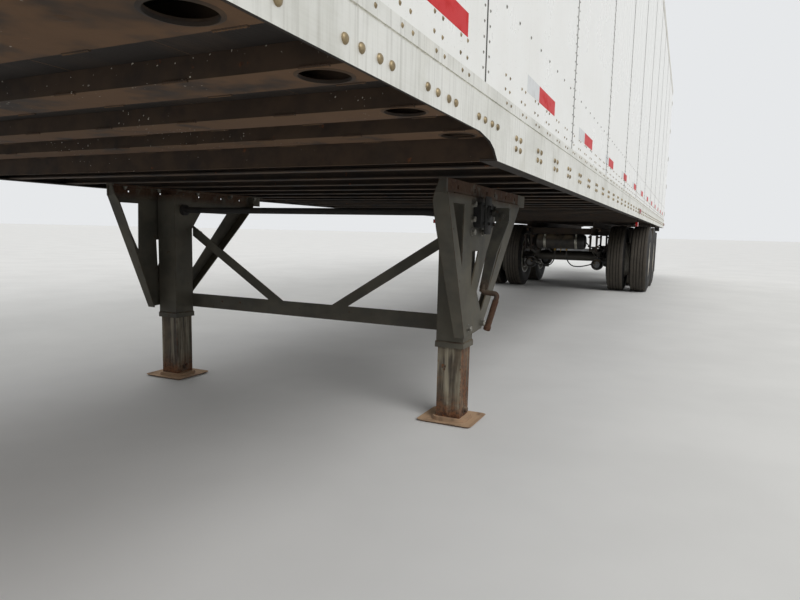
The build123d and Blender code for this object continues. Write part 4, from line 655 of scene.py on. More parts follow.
@dataclass
class Form:
    """A closed surface, or several, kept as arrays of points and faces."""

    points: np.ndarray
    quads: np.ndarray
    tris: np.ndarray

    @staticmethod
    def joined(forms: Iterable["Form"]) -> "Form":
        """Put several forms into one by shifting the later ones' point numbers.

        Args:
            forms: The forms, in order.

        Returns:
            One form that holds them all.
        """
        parts = list(forms)
        starts = np.cumsum([0] + [len(part.points) for part in parts])[:-1]
        return Form(
            np.vstack([part.points for part in parts]),
            np.vstack([part.quads + start for part, start in zip(parts, starts)]),
            np.vstack([part.tris + start for part, start in zip(parts, starts)]),
        )

    def outward(self) -> "Form":
        """Turn the faces outwards: a closed form whose signed volume is negative is reversed.

        Returns:
            The form, faces outwards.
        """
        halves = [self.tris, self.quads[:, [0, 1, 2]], self.quads[:, [0, 2, 3]]]
        corners = self.points[np.vstack(halves)]
        volume = np.einsum("ij,ij->i", corners[:, 0], np.cross(corners[:, 1], corners[:, 2]))
        return self.scaled((1, 1, 1), volume.sum() < 0)

    def scaled(self, factors: Triple, reverse: bool) -> "Form":
        """Each point times the factors, with the faces' corners in reverse order if asked."""
        way = -1 if reverse else 1
        return Form(self.points * factors, self.quads[:, ::way], self.tris[:, ::way])

    def both(self) -> "Form":
        """This form on the left side and its mirror image on the right."""
        return Form.joined([self, self.scaled((-1, 1, 1), True)])

    def set_at(self, places: np.ndarray | Triple, normal: Triple) -> "Form":
        """Copies that stand on a surface: each point is place + x right + y ahead + z normal.

        Args:
            places: Points on the surface, one row each.
            normal: Direction in which the copies' own Z points.

        Returns:
            One form that holds every copy.
        """
        places = np.asarray(places, float).reshape(-1, 3)
        out = np.array(normal, float) / np.linalg.norm(normal)
        right = np.cross(UP if abs(out[2]) < 0.9 else BACK, out)
        right /= np.linalg.norm(right)
        turned_points = self.points @ np.array([right, np.cross(out, right), out])
        steps = (np.arange(len(places)) * len(self.points))[:, None, None]
        return Form(
            (places[:, None, :] + turned_points[None, :, :]).reshape(-1, 3),
            (self.quads[None] + steps).reshape(-1, 4), (self.tris[None] + steps).reshape(-1, 3),
        )


def skin(sections: np.ndarray, loop: bool = False) -> Form:
    """Surface of a grid of points: ring i is joined to ring i + 1, and each ring closes on itself.

    Args:
        sections: Points by ring, by place round the ring, and by axis.
        loop: Whether the last ring joins the first; otherwise both ends are capped.

    Returns:
        The closed form, faces outwards.
    """
    count, size = sections.shape[:2]
    ring, spot = np.meshgrid(np.arange(count if loop else count - 1), np.arange(size), indexing="ij")
    after_ring, after_spot = (ring + 1) % count, (spot + 1) % size
    corners = [ring * size + spot, ring * size + after_spot,
               after_ring * size + after_spot, after_ring * size + spot]
    caps = [np.zeros((0, 3), int)]
    for number, way in () if loop else ((0, -1), (count - 1, 1)):
        edge = sections[number] - sections[number].mean(0)
        cap = np.array(tessellate_polygon([[Vector(point) for point in edge]]), int).reshape(-1, 3)
        around = np.cross(edge, np.roll(edge, -1, 0)).sum(0)
        area = np.cross(edge[cap[:, 1]] - edge[cap[:, 0]], edge[cap[:, 2]] - edge[cap[:, 0]]).sum(0)
        follows = way * float(around @ area) > 0
        caps.append((cap if follows else cap[:, ::-1]) + number * size)
    quads = np.stack(corners, -1).reshape(-1, 4)
    return Form(sections.reshape(-1, 3), quads, np.vstack(caps)).outward()


def prism(outline: np.ndarray, levels: Rings) -> Form:
    """Upright form: the outline scaled about its middle and set at each level in turn.

    Args:
        outline: Corners in X and Y.
        levels: Height and scale of each ring, from the lowest.

    Returns:
        The closed form.
    """
    outline = np.asarray(outline, float)
    middle = outline.mean(0)
    return skin(np.array([
        np.column_stack([middle + (outline - middle) * scale, np.full(len(outline), height)])
        for height, scale in levels
    ]))


def circle(radius: float, sides: int, turn: float = 0.0) -> np.ndarray:
    """Corners of a regular outline: radius times cosine and sine of evenly spaced angles."""
    angles = np.arange(sides) * 2 * np.pi / sides + turn
    return radius * np.column_stack([np.cos(angles), np.sin(angles)])


def oblong(width: float, height: float, corner: float = 0.0, steps: int = 3) -> np.ndarray:
    """Corners of a rectangle about the middle, each corner a quarter circle of a few points.

    Args:
        width: Size along X.
        height: Size along Y.
        corner: Radius of the corners.
        steps: Runs that each quarter circle is divided into.

    Returns:
        The corners in turn.
    """
    signs = np.array([[1, 1], [-1, 1], [-1, -1], [1, -1]])
    if corner <= 0:
        return signs * (width / 2, height / 2)
    angles = np.linspace(0, np.pi / 2, steps + 1) + np.arange(4)[:, None] * np.pi / 2
    centres = signs * (width / 2 - corner, height / 2 - corner)
    arcs = np.stack([np.cos(angles), np.sin(angles)], -1) * corner + centres[:, None]
    return arcs.reshape(-1, 2)


def turned(profile: Rings, sides: int = 24) -> Form:
    """Form turned about its own Z: each ring has the radius given at the height given.

    Args:
        profile: Height and radius of each ring, from one end to the other.
        sides: Number of points round.

    Returns:
        The closed form.
    """
    rows = np.array(list(profile), float)
    rings = circle(1.0, sides)[None] * rows[:, 1, None, None]
    heights = np.broadcast_to(rows[:, 0, None, None], (len(rows), sides, 1))
    return skin(np.concatenate([rings, heights], 2))


def hoop(profile: Rings, sides: int = 28) -> Form:
    """Ring round its own Z: each corner of the closed profile goes all the way round.

    Args:
        profile: Height and radius of each corner.
        sides: Number of points round.

    Returns:
        The closed ring.
    """
    rows = np.array(list(profile), float)
    around = circle(1.0, sides)[:, None, :] * rows[None, :, 1, None]
    heights = np.broadcast_to(rows[None, :, 0, None], (sides, len(rows), 1))
    return skin(np.concatenate([around, heights], 2), loop=True)


def rim(width: float, height: float, profile: Rings) -> Form:
    """Frame round a rectangle: each corner of it carries the profile, mitred.

    Args:
        width: Size of the rectangle along X.
        height: Size of the rectangle along Y.
        profile: Closed outline, each point inward from the rectangle's edge and up.

    Returns:
        The closed frame.
    """
    rows = np.array(list(profile), float)
    corners = oblong(width, height)
    inward = corners[:, None, :] - np.sign(corners)[:, None, :] * rows[None, :, 0, None]
    heights = np.broadcast_to(rows[None, :, 1, None], (len(corners), len(rows), 1))
    return skin(np.concatenate([inward, heights], 2), loop=True)


def dome(radius: float, height: float, sides: int = 10, rings: int = 3) -> Form:
    """Rivet head: rings of radius r cos t at height h sin t, its foot a little sunk.

    Args:
        radius: Radius of the foot.
        height: Height that the full arc would reach.
        sides: Number of points round.
        rings: Number of rings from foot to top.

    Returns:
        The closed head.
    """
    angles = np.linspace(0, np.radians(72), rings)
    rows = [(height * math.sin(t), radius * math.cos(t)) for t in angles]
    return turned([(-0.0003, radius), *rows], sides)


def hex_head(across: float, height: float, washer: float = 0.0, stud: float = 0.0) -> Form:
    """Hexagon head with worn corners, on a washer, with the stud's end showing if it has one.

    Args:
        across: Size across the flats.
        height: Height of the head.
        washer: Radius of the washer, or zero.
        stud: Radius of the stud's end, or zero.

    Returns:
        The closed forms together.
    """
    foot = 0.0025 if washer > 0 else 0.0
    top = foot + height
    corners = circle(across / math.sqrt(3), 6)
    parts = [prism(corners, [(foot - 0.0005, 1), (foot + height * 0.88, 1), (top, 0.86)])]
    if washer > 0:
        parts.append(turned([(-0.0003, washer), (foot * 0.8, washer), (foot, washer * 0.95)], 18))
    if stud > 0:
        parts.append(turned([(top - 0.001, stud), (top + stud * 0.8, stud), (top + stud, stud * 0.8)], 10))
    return Form.joined(parts)


def carried(profile: np.ndarray, path: np.ndarray, up: Triple = UP) -> Form:
    """Profile carried along a path: point = path + profile x times side + profile y times rise.

    Args:
        profile: Outline across the path.
        path: Points of the path.
        up: Direction that the profile's second axis keeps to.

    Returns:
        The closed form with capped ends.
    """
    profile, path = np.asarray(profile, float), np.asarray(path, float)
    ahead = np.gradient(path, axis=0)
    ahead /= np.linalg.norm(ahead, axis=1, keepdims=True)
    side = np.cross(ahead, np.array(up, float))
    side /= np.linalg.norm(side, axis=1, keepdims=True)
    rise = np.cross(side, ahead)
    across = profile[None, :, 0, None] * side[:, None, :] + profile[None, :, 1, None] * rise[:, None, :]
    return skin(path[:, None, :] + across)


def block(low: Triple, high: Triple, edge: float = 0.0015) -> Form:
    """Plate or bar between two corners, every upright edge and both ends slightly eased.

    Args:
        low: One corner.
        high: The corner across from it.
        edge: Width by which the edges are eased.

    Returns:
        The closed form.
    """
    low_a, high_a = np.minimum(low, high), np.maximum(low, high)
    size = high_a - low_a
    edge = min(edge, size.min() * 0.3)
    shrink = 1 - 2 * edge / max(size[0], size[1])
    levels = [(0, shrink), (edge, 1), (size[2] - edge, 1), (size[2], shrink)]
    form = prism(oblong(size[0], size[1], edge, 1), levels)
    form.points += ((low_a + high_a) / 2 * (1, 1, 0)) + low_a * (0, 0, 1)
    return form


def weld_bead(start: Triple, end: Triple, radius: float = 0.0042, ripple: float = 0.006) -> Form:
    """Weld bead: rings about a line, whose radius ripples as a cosine of the place along it.

    Args:
        start: One end of the joint.
        end: Other end of the joint.
        radius: Mean radius of the bead.
        ripple: Length of one ripple.

    Returns:
        The closed bead.
    """
    length = math.dist(start, end)
    share = np.linspace(0, 1, max(4, int(length / ripple * 3)))
    line = np.array(start) + share[:, None] * np.subtract(end, start)
    ahead = np.subtract(end, start) / length
    side = np.cross(ahead, UP if abs(ahead[2]) < 0.9 else BACK)
    side /= np.linalg.norm(side)
    swell = radius * (1 + 0.18 * np.cos(2 * np.pi * share * length / ripple))
    ring = circle(1.0, 7)
    spokes = ring[:, 0, None] * side + ring[:, 1, None] * np.cross(side, ahead)
    return skin(line[:, None] + swell[:, None, None] * spokes[None])


def weld_pair(start: Triple, end: Triple, radius: float = 0.0042) -> Form:
    """Weld bead on the left side, and one between the mirror places on the right side."""
    ends = [[(side * x, y, z) for x, y, z in (start, end)] for side in SIDES.values()]
    return Form.joined([weld_bead(first, last, radius) for first, last in ends])


def lattice(xs: Iterable[float], ys: Iterable[float], zs: Iterable[float]) -> np.ndarray:
    """Every combination of the places along the three axes, one row each."""
    grid = np.meshgrid(list(xs), list(ys), list(zs), indexing="ij")
    return np.stack(grid, -1).reshape(-1, 3).astype(float)


def pairs(middles: Iterable[float], spread: float) -> np.ndarray:
    """Two places for each middle, one on each side of it."""
    return np.ravel([(middle - spread, middle + spread) for middle in middles])


class Assembly:
    """Sub-assembly: a class whose own methods each make pieces from its sizes."""

    body: str = "trailer"

    def build(self) -> None:
        """Run the class's own methods in the order in which they are written."""
        for name, part in list(vars(type(self)).items()):
            if callable(part) and not name.startswith("_"):
                part(self)

    def _make(
        self, name: str, finish: Finish, slot: str, *forms: Form, body: str = "", both: bool = False,
        replaces: str = "", smooth: float = 35.0, stripes: np.ndarray | None = None,
    ) -> None:
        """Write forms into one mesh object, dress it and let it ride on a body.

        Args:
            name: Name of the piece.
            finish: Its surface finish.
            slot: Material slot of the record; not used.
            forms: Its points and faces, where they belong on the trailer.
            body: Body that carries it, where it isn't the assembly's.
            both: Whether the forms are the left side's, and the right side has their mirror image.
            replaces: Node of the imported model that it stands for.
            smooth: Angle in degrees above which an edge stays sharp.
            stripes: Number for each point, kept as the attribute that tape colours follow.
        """
        form = Form.joined(forms)
        form = form.both() if both else form
        mesh = bpy.data.meshes.new(name)
        mesh.vertices.add(len(form.points))
        mesh.vertices.foreach_set("co", form.points.astype(np.float32).ravel())
        loops = np.concatenate([form.quads.ravel(), form.tris.ravel()])
        sizes = np.repeat([4, 3], [len(form.quads), len(form.tris)])
        mesh.loops.add(len(loops))
        mesh.loops.foreach_set("vertex_index", loops.astype(np.int32))
        mesh.polygons.add(len(sizes))
        mesh.polygons.foreach_set("loop_start", (np.cumsum(sizes) - sizes).astype(np.int32))
        mesh.update(calc_edges=True)
        mesh.polygons.foreach_set("use_smooth", np.ones(len(sizes), bool))
        mesh.set_sharp_from_angle(angle=math.radians(smooth))
        if stripes is not None:
            stripe = mesh.attributes.new("stripe", "FLOAT", "POINT")
            stripe.data.foreach_set("value", stripes.astype(np.float32))
        mesh.materials.append(finish.material())
        piece = bpy.data.objects.new(name, mesh)
        bpy.context.scene.collection.objects.link(piece)
        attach(piece, body or self.body)
        if replaces:
            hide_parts(replaces)
        log.info("%s: %d faces", name, len(sizes))

    def _tape(self, name: str, slot: str, runs: Iterable[tuple[Triple, Triple, float]]) -> None:
        """Make strips of reflective tape, each a thin plate between two corners.

        Args:
            name: Name of the piece.
            slot: Material slot of the record.
            runs: Two corners of each strip, and one for white or zero for red.
        """
        strips = [(block(low, high, 0.0001), white) for low, high, white in runs]
        stripes = np.concatenate([np.full(len(strip.points), white) for strip, white in strips])
        self._make(name, TAPE, slot, *(strip for strip, _ in strips), stripes=stripes)


# Studio


@dataclass
class Studio:
    """Pale floor, soft light and the camera at the photograph's viewing angle."""

    eye: Triple = (1.803, -7.1726, 0.8666)
    yaw: float = 25.189
    pitch: float = -6.5
    roll: float = 1.338
    focal_pixels: float = 604.05
    image_width: int = 800
    sensor_mm: float = 36.0
    floor_reach: float = 400.0
    floor_rings: int = 24
    floor_sides: int = 48

    def build(self) -> None:
        """Make the camera, the floor, the lamps and the world."""
        self.camera()
        self.floor()
        self.lamps()
        self.world()

    def link(self, name: str, data: object, axes: Matrix) -> bpy.types.Object:
        """Put an object with the data given into the scene.

        Args:
            name: Name of the object.
            data: Mesh, lamp or camera.
            axes: Place and turn of the object.

        Returns:
            The object.
        """
        made = bpy.data.objects.new(name, data)
        made.matrix_world = axes
        bpy.context.scene.collection.objects.link(made)
        return made

    def camera(self) -> None:
        """Turn the camera by yaw, pitch and roll, and set its lens from the focal length."""
        yaw, pitch, roll = (math.radians(a) for a in (self.yaw, self.pitch, self.roll))
        ahead = Vector((-math.sin(yaw) * math.cos(pitch), math.cos(yaw) * math.cos(pitch),
                        math.sin(pitch)))
        level = Vector((math.cos(yaw), math.sin(yaw), 0.0))
        rise = level.cross(ahead)
        right = math.cos(roll) * level + math.sin(roll) * rise
        up = -math.sin(roll) * level + math.cos(roll) * rise
        data = bpy.data.cameras.new("photo_camera")
        data.sensor_fit = "HORIZONTAL"
        data.sensor_width = self.sensor_mm
        data.lens = self.focal_pixels * self.sensor_mm / self.image_width
        data.clip_start = 0.05
        data.clip_end = 1000.0
        axes = Matrix((right, up, -ahead)).transposed().to_4x4()
        bpy.context.scene.camera = self.link("photo_camera", data, Matrix.Translation(self.eye) @ axes)

    def floor(self) -> None:
        """Round floor: rings whose radius grows as a square, closed by a cap under the trailer."""
        share = np.linspace(0.02, 1, self.floor_rings)
        rings = circle(1.0, self.floor_sides)[None] * (self.floor_reach * share ** 2)[:, None, None]
        flat = np.concatenate([rings, np.zeros(rings.shape[:2] + (1,))], 2)
        count, size = flat.shape[:2]
        ring, spot = np.meshgrid(np.arange(count - 1), np.arange(size), indexing="ij")
        quads = np.stack([
            ring * size + spot, (ring + 1) * size + spot,
            (ring + 1) * size + (spot + 1) % size, ring * size + (spot + 1) % size,
        ], -1).reshape(-1, 4)
        mesh = bpy.data.meshes.new("studio_floor")
        mesh.from_pydata(flat.reshape(-1, 3).tolist(), [], quads.tolist() + [list(range(size))])
        made = bpy.data.materials.new("studio_floor_paint")
        made.use_nodes = True
        nodes = Nodes(made.node_tree)
        colour = nodes.coats("E4E3E0", (nodes.patches(900.0, 0.3, 0.7), "DEDDDA"))
        matt = nodes.add("BsdfPrincipled", {"Base Color": colour, "Roughness": 0.9})
        nodes.close("OutputMaterial", matt)
        mesh.materials.append(made)
        self.link("studio_floor", mesh, Matrix())

    def lamps(self) -> None:
        """Wide soft suns: the key from the photograph's bright side, a weak one from behind."""
        suns = (
            ("key_sun", 1.75, 40.0, (1.0, -0.75, 0.95)),
            ("back_sun", 0.7, 60.0, (-0.8, 0.9, 0.8)),
        )
        for name, strength, angle, toward in suns:
            data = bpy.data.lights.new(name, "SUN")
            data.energy = strength
            data.angle = math.radians(angle)
            self.link(name, data, Vector(toward).to_track_quat("Z", "Y").to_matrix().to_4x4())

    def world(self) -> None:
        """Even light from all round, and a paler background where the camera or gloss sees it."""
        world = bpy.data.worlds.new("studio_world")
        bpy.context.scene.world = world
        world.use_nodes = True
        nodes = Nodes(world.node_tree)
        camera, gloss, glass = (
            nodes.add("LightPath", (), f"Is {kind} Ray") for kind in ("Camera", "Glossy", "Transmission"))
        strength = nodes.add("MapRange", (camera | gloss | glass, 0.0, 1.0, 0.5, 0.86))
        sky = nodes.add("Background", {"Color": srgb("F6F8FA"), "Strength": strength})
        nodes.close("OutputWorld", sky)


# Body


@dataclass
class WallDress(Assembly):
    """Rivets, joint strips and reflective tape on both side walls and their rails."""

    rail_face: float = 1.2955
    lip_face: float = 1.2940
    wall_face: float = 1.2877
    seams: Row = (
        -6.877, -5.576, -4.243, -2.930, -1.665, -0.374, 0.933, 2.192, 3.371, 4.830, 6.130)
    wall_front: float = -7.90
    wall_rear: float = 7.85
    beam_first: float = -5.237
    beam_pitch: float = 0.3048
    beam_count: int = 43
    beam_spread: float = 0.027
    rail_rows: tuple[float, float] = (1.132, 1.164)
    coupler_rivets: Row = (
        -7.78, -7.66, -7.54, -7.42, -7.30, -7.18, -7.06, -6.94, -6.82, -6.70, -6.60, -6.493,
        -6.320, -6.266, -6.200, -6.152, -5.983, -5.927, -5.861, -5.815, -5.643, -5.589, -5.526,
        -5.472)
    coupler_row: float = 1.165
    seam_offset: float = 0.024
    seam_pitch: float = 0.039
    seam_foot: float = 1.298
    lip_row: float = 1.2490
    foot_rows: tuple[float, float] = (1.290, 1.330)
    nose_pairs: Row = (
        -7.70, -7.535, -7.37, -7.205, -7.04, -6.70, -6.535, -6.37, -6.24, -6.084, -5.914, -5.749)
    scuff_row: float = 1.515
    scuff_pitch: float = 0.150
    tape_rows: tuple[float, float] = (1.3375, 1.3930)
    tape_first: float = -6.1820
    tape_pitch: float = 1.0600
    tape_white: float = 0.177
    tape_red: float = 0.280
    top_rows: tuple[float, float] = (4.028, 4.072)
    top_pitch: float = 0.1016

    def rail_rivets(self) -> None:
        """Four buck rivets at each cross member, and the row along the coupler."""
        beams = self.beam_first + self.beam_pitch * np.arange(self.beam_count)
        ys = np.concatenate([beams - self.beam_spread, beams + self.beam_spread])
        places = np.vstack([
            lattice([self.rail_face], ys, self.rail_rows),
            lattice([self.rail_face], self.coupler_rivets, [self.coupler_row]),
        ])
        heads = dome(0.0098, 0.0062, 12, 4).set_at(places, OUT)
        # The heads' dark gold is partly painted shade
        self._make("rail_rivets", RIVET_METAL_SHADED, "mill_aluminium", heads, both=True)

    def wall_rivets(self) -> None:
        """Two columns of small rivets at each seam, and one row at the scuff band's top."""
        heights = np.arange(self.seam_foot, 4.0, self.seam_pitch)
        columns = lattice([self.wall_face], pairs(self.seams, self.seam_offset), heights)
        ys = np.arange(self.wall_front + 0.10, self.wall_rear, self.scuff_pitch)
        clear = np.abs(ys[:, None] - np.array(self.seams)).min(1) >= 0.045
        row = lattice([self.wall_face], ys[clear], [self.scuff_row])
        # The wall rivets' dark grey is painted shade round their heads
        self._make(
            "wall_rivets", RIVET_SHADE_PAINT, "white_panel", dome(0.0046, 0.0024, 6, 2).set_at(columns, OUT),
            dome(0.0060, 0.0030, 8, 2).set_at(row, OUT), both=True)

    def foot_rivets(self) -> None:
        """Pairs of rivets through the rail's lip and the wall's foot, one pair at each beam."""
        along = [*self.nose_pairs, *np.arange(-5.358, self.wall_rear - 0.05, 0.1905)]
        ys = pairs(along, 0.024)
        clear = np.abs(ys[:, None] - np.array(self.seams)).min(1) > 0.045
        places = np.vstack([
            lattice([self.lip_face], ys, [self.lip_row]),
            lattice([self.wall_face], ys[clear], self.foot_rows),
        ])
        heads = dome(0.0056, 0.0030, 8, 2).set_at(places, OUT)
        self._make("foot_rivets", RIVET_METAL_SHADED, "mill_aluminium", heads, both=True)

    def top_rail_rivets(self) -> None:
        """Two rows of rivets along each top rail."""
        ys = np.arange(self.wall_front + 0.06, self.wall_rear, self.top_pitch)
        heads = dome(0.0056, 0.0028, 6, 2).set_at(lattice([self.lip_face], ys, self.top_rows), OUT)
        self._make("top_rail_rivets", RIVET_METAL_SHADED, "mill_aluminium", heads, both=True)

    def joint_strips(self) -> None:
        """Narrow charcoal bead filling each seam, partly sealant and partly painted shade of the joint's
        gap: a half round profile from foot to top rail.
        """
        bead = np.array([[-0.0052, -0.001], [0.0052, -0.001], [0.0037, 0.0010], [0.0, 0.0018],
                         [-0.0037, 0.0010]])
        heights = np.linspace(1.264, 4.005, 3)
        beads = [
            carried(bead, lattice([self.wall_face], [seam], heights), up=OUT) for seam in self.seams]
        self._make("wall_joint_sealant_and_shade", SEAL, "white_panel", *beads, both=True)

    def tape(self) -> None:
        """Red and white tape along both walls, in pairs about one metre apart."""
        runs = []
        for side in SIDES.values():
            near, far = side * (self.wall_face - 0.0001), side * (self.wall_face + 0.0004)
            for start in np.arange(self.tape_first, self.wall_rear - 0.6, self.tape_pitch):
                edges = np.cumsum([start, self.tape_white, self.tape_red])
                for low, high, white in zip(edges, edges[1:], (1.0, 0.0)):
                    foot, top = self.tape_rows
                    runs.append(((near, low, foot), (far, high, top), white))
        self._tape("side_tape", "white_panel", runs)


@dataclass
class RoofSkin(Assembly):
    """Thin roof sheet drawn tight over the bows, riveted along both top rails."""

    low: float = 4.0970
    high: float = 4.0988
    half_width: float = 1.2925
    front: float = -8.0505
    rear: float = 8.0070
    corner: float = 0.1485
    bow_first: float = -7.5972
    bow_pitch: float = 0.6096
    pitch: float = 0.0762

    def sheet(self) -> None:
        """Roof sheet: a grid whose height dips by a cosine between the bows, with its rivets."""
        along = np.linspace(self.front, self.rear, 261)
        ahead = np.clip(self.front + self.corner - along, 0, None)
        inset = self.corner - np.sqrt(np.clip(self.corner ** 2 - ahead ** 2, 0, None))
        share = np.linspace(-1, 1, 21)
        half = (self.half_width - inset)[:, None]
        phase = 2 * np.pi * (along[:, None] - self.bow_first) / self.bow_pitch
        dip = 0.0007 * (1 - np.cos(phase)) / 2 * np.cos(share[None] * np.pi / 2)
        top = np.stack([share[None] * half, np.broadcast_to(along[:, None], dip.shape),
                        self.high - dip], -1)
        under = top[:, ::-1] * (1, 1, 0) + (0, 0, self.low)
        ys = np.arange(self.front + 0.2, self.rear, self.pitch)
        xs = np.arange(-1.20, 1.21, self.pitch)
        places = np.vstack([
            lattice((-1.262, -1.278, 1.262, 1.278), ys, [self.high]),
            lattice(xs, [self.front + 0.05, self.rear - 0.05], [self.high]),
        ])
        self._make(
            "roof_skin", ROOF_METAL, "roof_aluminium", skin(np.concatenate([top, under], 1)),
            dome(0.0055, 0.0011, 6, 2).set_at(places, UP), replaces="roof_sheet")


@dataclass
class FrontEnd(Assembly):
    """Rivets of the front wall, its rails and corners, and the service connections."""

    face: float = -8.0505
    rail_face: float = -8.0520
    seams: tuple[float, float] = (-0.3813, 0.3813)
    columns: Row = (-0.7627, 0.0, 0.7627, -1.128, 1.128)
    low: float = 1.300
    high: float = 3.985
    pitch: float = 0.0762
    rail_rows: Row = (1.152, 1.236, 4.026, 4.078)
    corner_x: float = 1.1455
    corner_y: float = -7.902
    corner_radius: float = 0.1485
    panel_face: float = -8.0508
    panel_z: float = 1.500
    coupling_x: float = 0.170

    def wall_rivets(self) -> None:
        """Columns of small rivets at seams and posts, clear of the service panel."""
        columns = [*pairs(self.seams, 0.014), *self.columns]
        wall = lattice(columns, [self.face], np.arange(self.low, self.high, self.pitch))
        behind_panel = (np.abs(wall[:, 0]) < 0.27) & (np.abs(wall[:, 2] - self.panel_z) < 0.09)
        heads = dome(0.0048, 0.0014, 8, 2).set_at(wall[~behind_panel], AHEAD)
        # The front wall rivets' dark grey is painted shade round their heads
        self._make("front_wall_rivets", RIVET_SHADE_PAINT, "white_panel", heads)

    def rail_rivets(self) -> None:
        """Rows of bucked rivets along both front rails, clear of the upper lamps."""
        rows = lattice(np.arange(-1.11, 1.12, 0.1016), [self.rail_face], self.rail_rows)
        near_lamp = (np.abs(np.abs(rows[:, 0]) - 1.080) < 0.06) & (rows[:, 2] > 4)
        heads = dome(0.0075, 0.0030, 10, 3).set_at(rows[~near_lamp], AHEAD)
        self._make("front_rail_rivets", RIVET_METAL_SHADED, "mill_aluminium", heads)

    def corner_rivets(self) -> None:
        """Rivets on the rounded corners: each stands along the radius at its own angle."""
        small, bucked = dome(0.0056, 0.0028, 8, 2), dome(0.0075, 0.0030, 10, 3)
        heights = np.arange(self.low, self.high, self.pitch)
        sets = [(degrees, small, 0.0, heights) for degrees in (8.0, 82.0)]
        sets += [(degrees, bucked, 0.0013, self.rail_rows) for degrees in (14.0, 45.0, 76.0)]
        parts = []
        for degrees, head, proud, rows in sets:
            turn = math.radians(degrees)
            normal = np.array([math.sin(turn), -math.cos(turn), 0.0])
            spot = np.array([self.corner_x, self.corner_y, 0.0]) + (self.corner_radius + proud) * normal
            parts.append(head.set_at(lattice([spot[0]], [spot[1]], rows), normal))
        self._make("corner_rivets", RIVET_METAL_SHADED, "mill_aluminium", *parts, both=True)

    def service_plate(self) -> None:
        """Cast plate that carries the connections: eased edges, a raised border, its screws."""
        place = (0.0, self.panel_face, self.panel_z)
        plate = prism(oblong(0.520, 0.150, 0.025, 5), [(0, 1), (0.0055, 1), (0.0075, 0.985)])
        border = rim(0.470, 0.112, [(0, 0.0070), (0, 0.0086), (0.003, 0.0096), (0.006, 0.0070)])
        screws = lattice([-0.243, -0.085, 0.085, 0.243], [self.panel_face - 0.0074],
                         pairs([self.panel_z], 0.062))
        bosses = [
            turned([(0.006, radius + 0.006), (0.0098, radius + 0.002), (0.0100, radius)], 28)
            .set_at((x, self.panel_face, self.panel_z), AHEAD)
            for x, radius in ((-self.coupling_x, 0.030), (0.0, 0.040), (self.coupling_x, 0.030))
        ]
        self._make(
            "service_plate", CAST_PAINT, "cast_grey", plate.set_at(place, AHEAD),
            border.set_at(place, AHEAD), *bosses, hex_head(0.011, 0.005).set_at(screws, AHEAD),
            replaces="service_panel")

    def couplings(self) -> None:
        """Two air couplings: round head, face seal, detent plate with its lug, and dust cap."""
        metal, rubber = [], []
        head = turned([(0, 0.0270), (0.0080, 0.0265), (0.0110, 0.0240), (0.0125, 0.0240),
                       (0.0130, 0.0225)], 32)
        seal = hoop([(0.0125, 0.0090), (0.0125, 0.0175), (0.0152, 0.0160), (0.0158, 0.0130),
                     (0.0150, 0.0100)], 28)
        for x in (-self.coupling_x, self.coupling_x):
            place = (x, self.panel_face - 0.0099, self.panel_z)
            metal += [
                head.set_at(place, AHEAD),
                block((x + 0.010, -8.0765, self.panel_z + 0.019),
                      (x + 0.036, -8.0670, self.panel_z + 0.034)),
                block((x - 0.040, -8.0700, self.panel_z - 0.010),
                      (x - 0.024, -8.0630, self.panel_z + 0.010)),
                dome(0.0045, 0.0020, 10, 2).set_at((x + 0.029, -8.0752, self.panel_z + 0.0265), AHEAD),
            ]
            rubber.append(seal.set_at(place, AHEAD))
        self._make("air_couplings", ZINC_PLATE, "cast_grey", *metal)
        self._make("coupling_seals", SEAL, "flap_rubber", *rubber)

    def socket(self) -> None:
        """Electric socket: ribbed barrel and a sprung lid with its hinge, pin and finger tab."""
        place = (0.0, self.panel_face - 0.0099, self.panel_z)
        lid = prism(oblong(0.070, 0.070, 0.020, 4), [(0.0085, 1), (0.0125, 1), (0.0150, 0.94)])
        barrel = turned([(0, 0.0380), (0.0030, 0.0380), (0.0035, 0.0355), (0.0050, 0.0355),
                         (0.0055, 0.0370), (0.0080, 0.0370)], 36)
        hinge = turned([(-0.024, 0.0052), (-0.022, 0.0060), (0.022, 0.0060), (0.024, 0.0052)], 16)
        self._make(
            "electric_socket", CAST_PAINT, "cast_grey", barrel.set_at(place, AHEAD),
            lid.set_at(place, AHEAD), hinge.set_at((0.0, -8.0690, self.panel_z + 0.0400), OUT),
            block((-0.009, -8.0755, self.panel_z - 0.0460), (0.009, -8.0715, self.panel_z - 0.0330)))


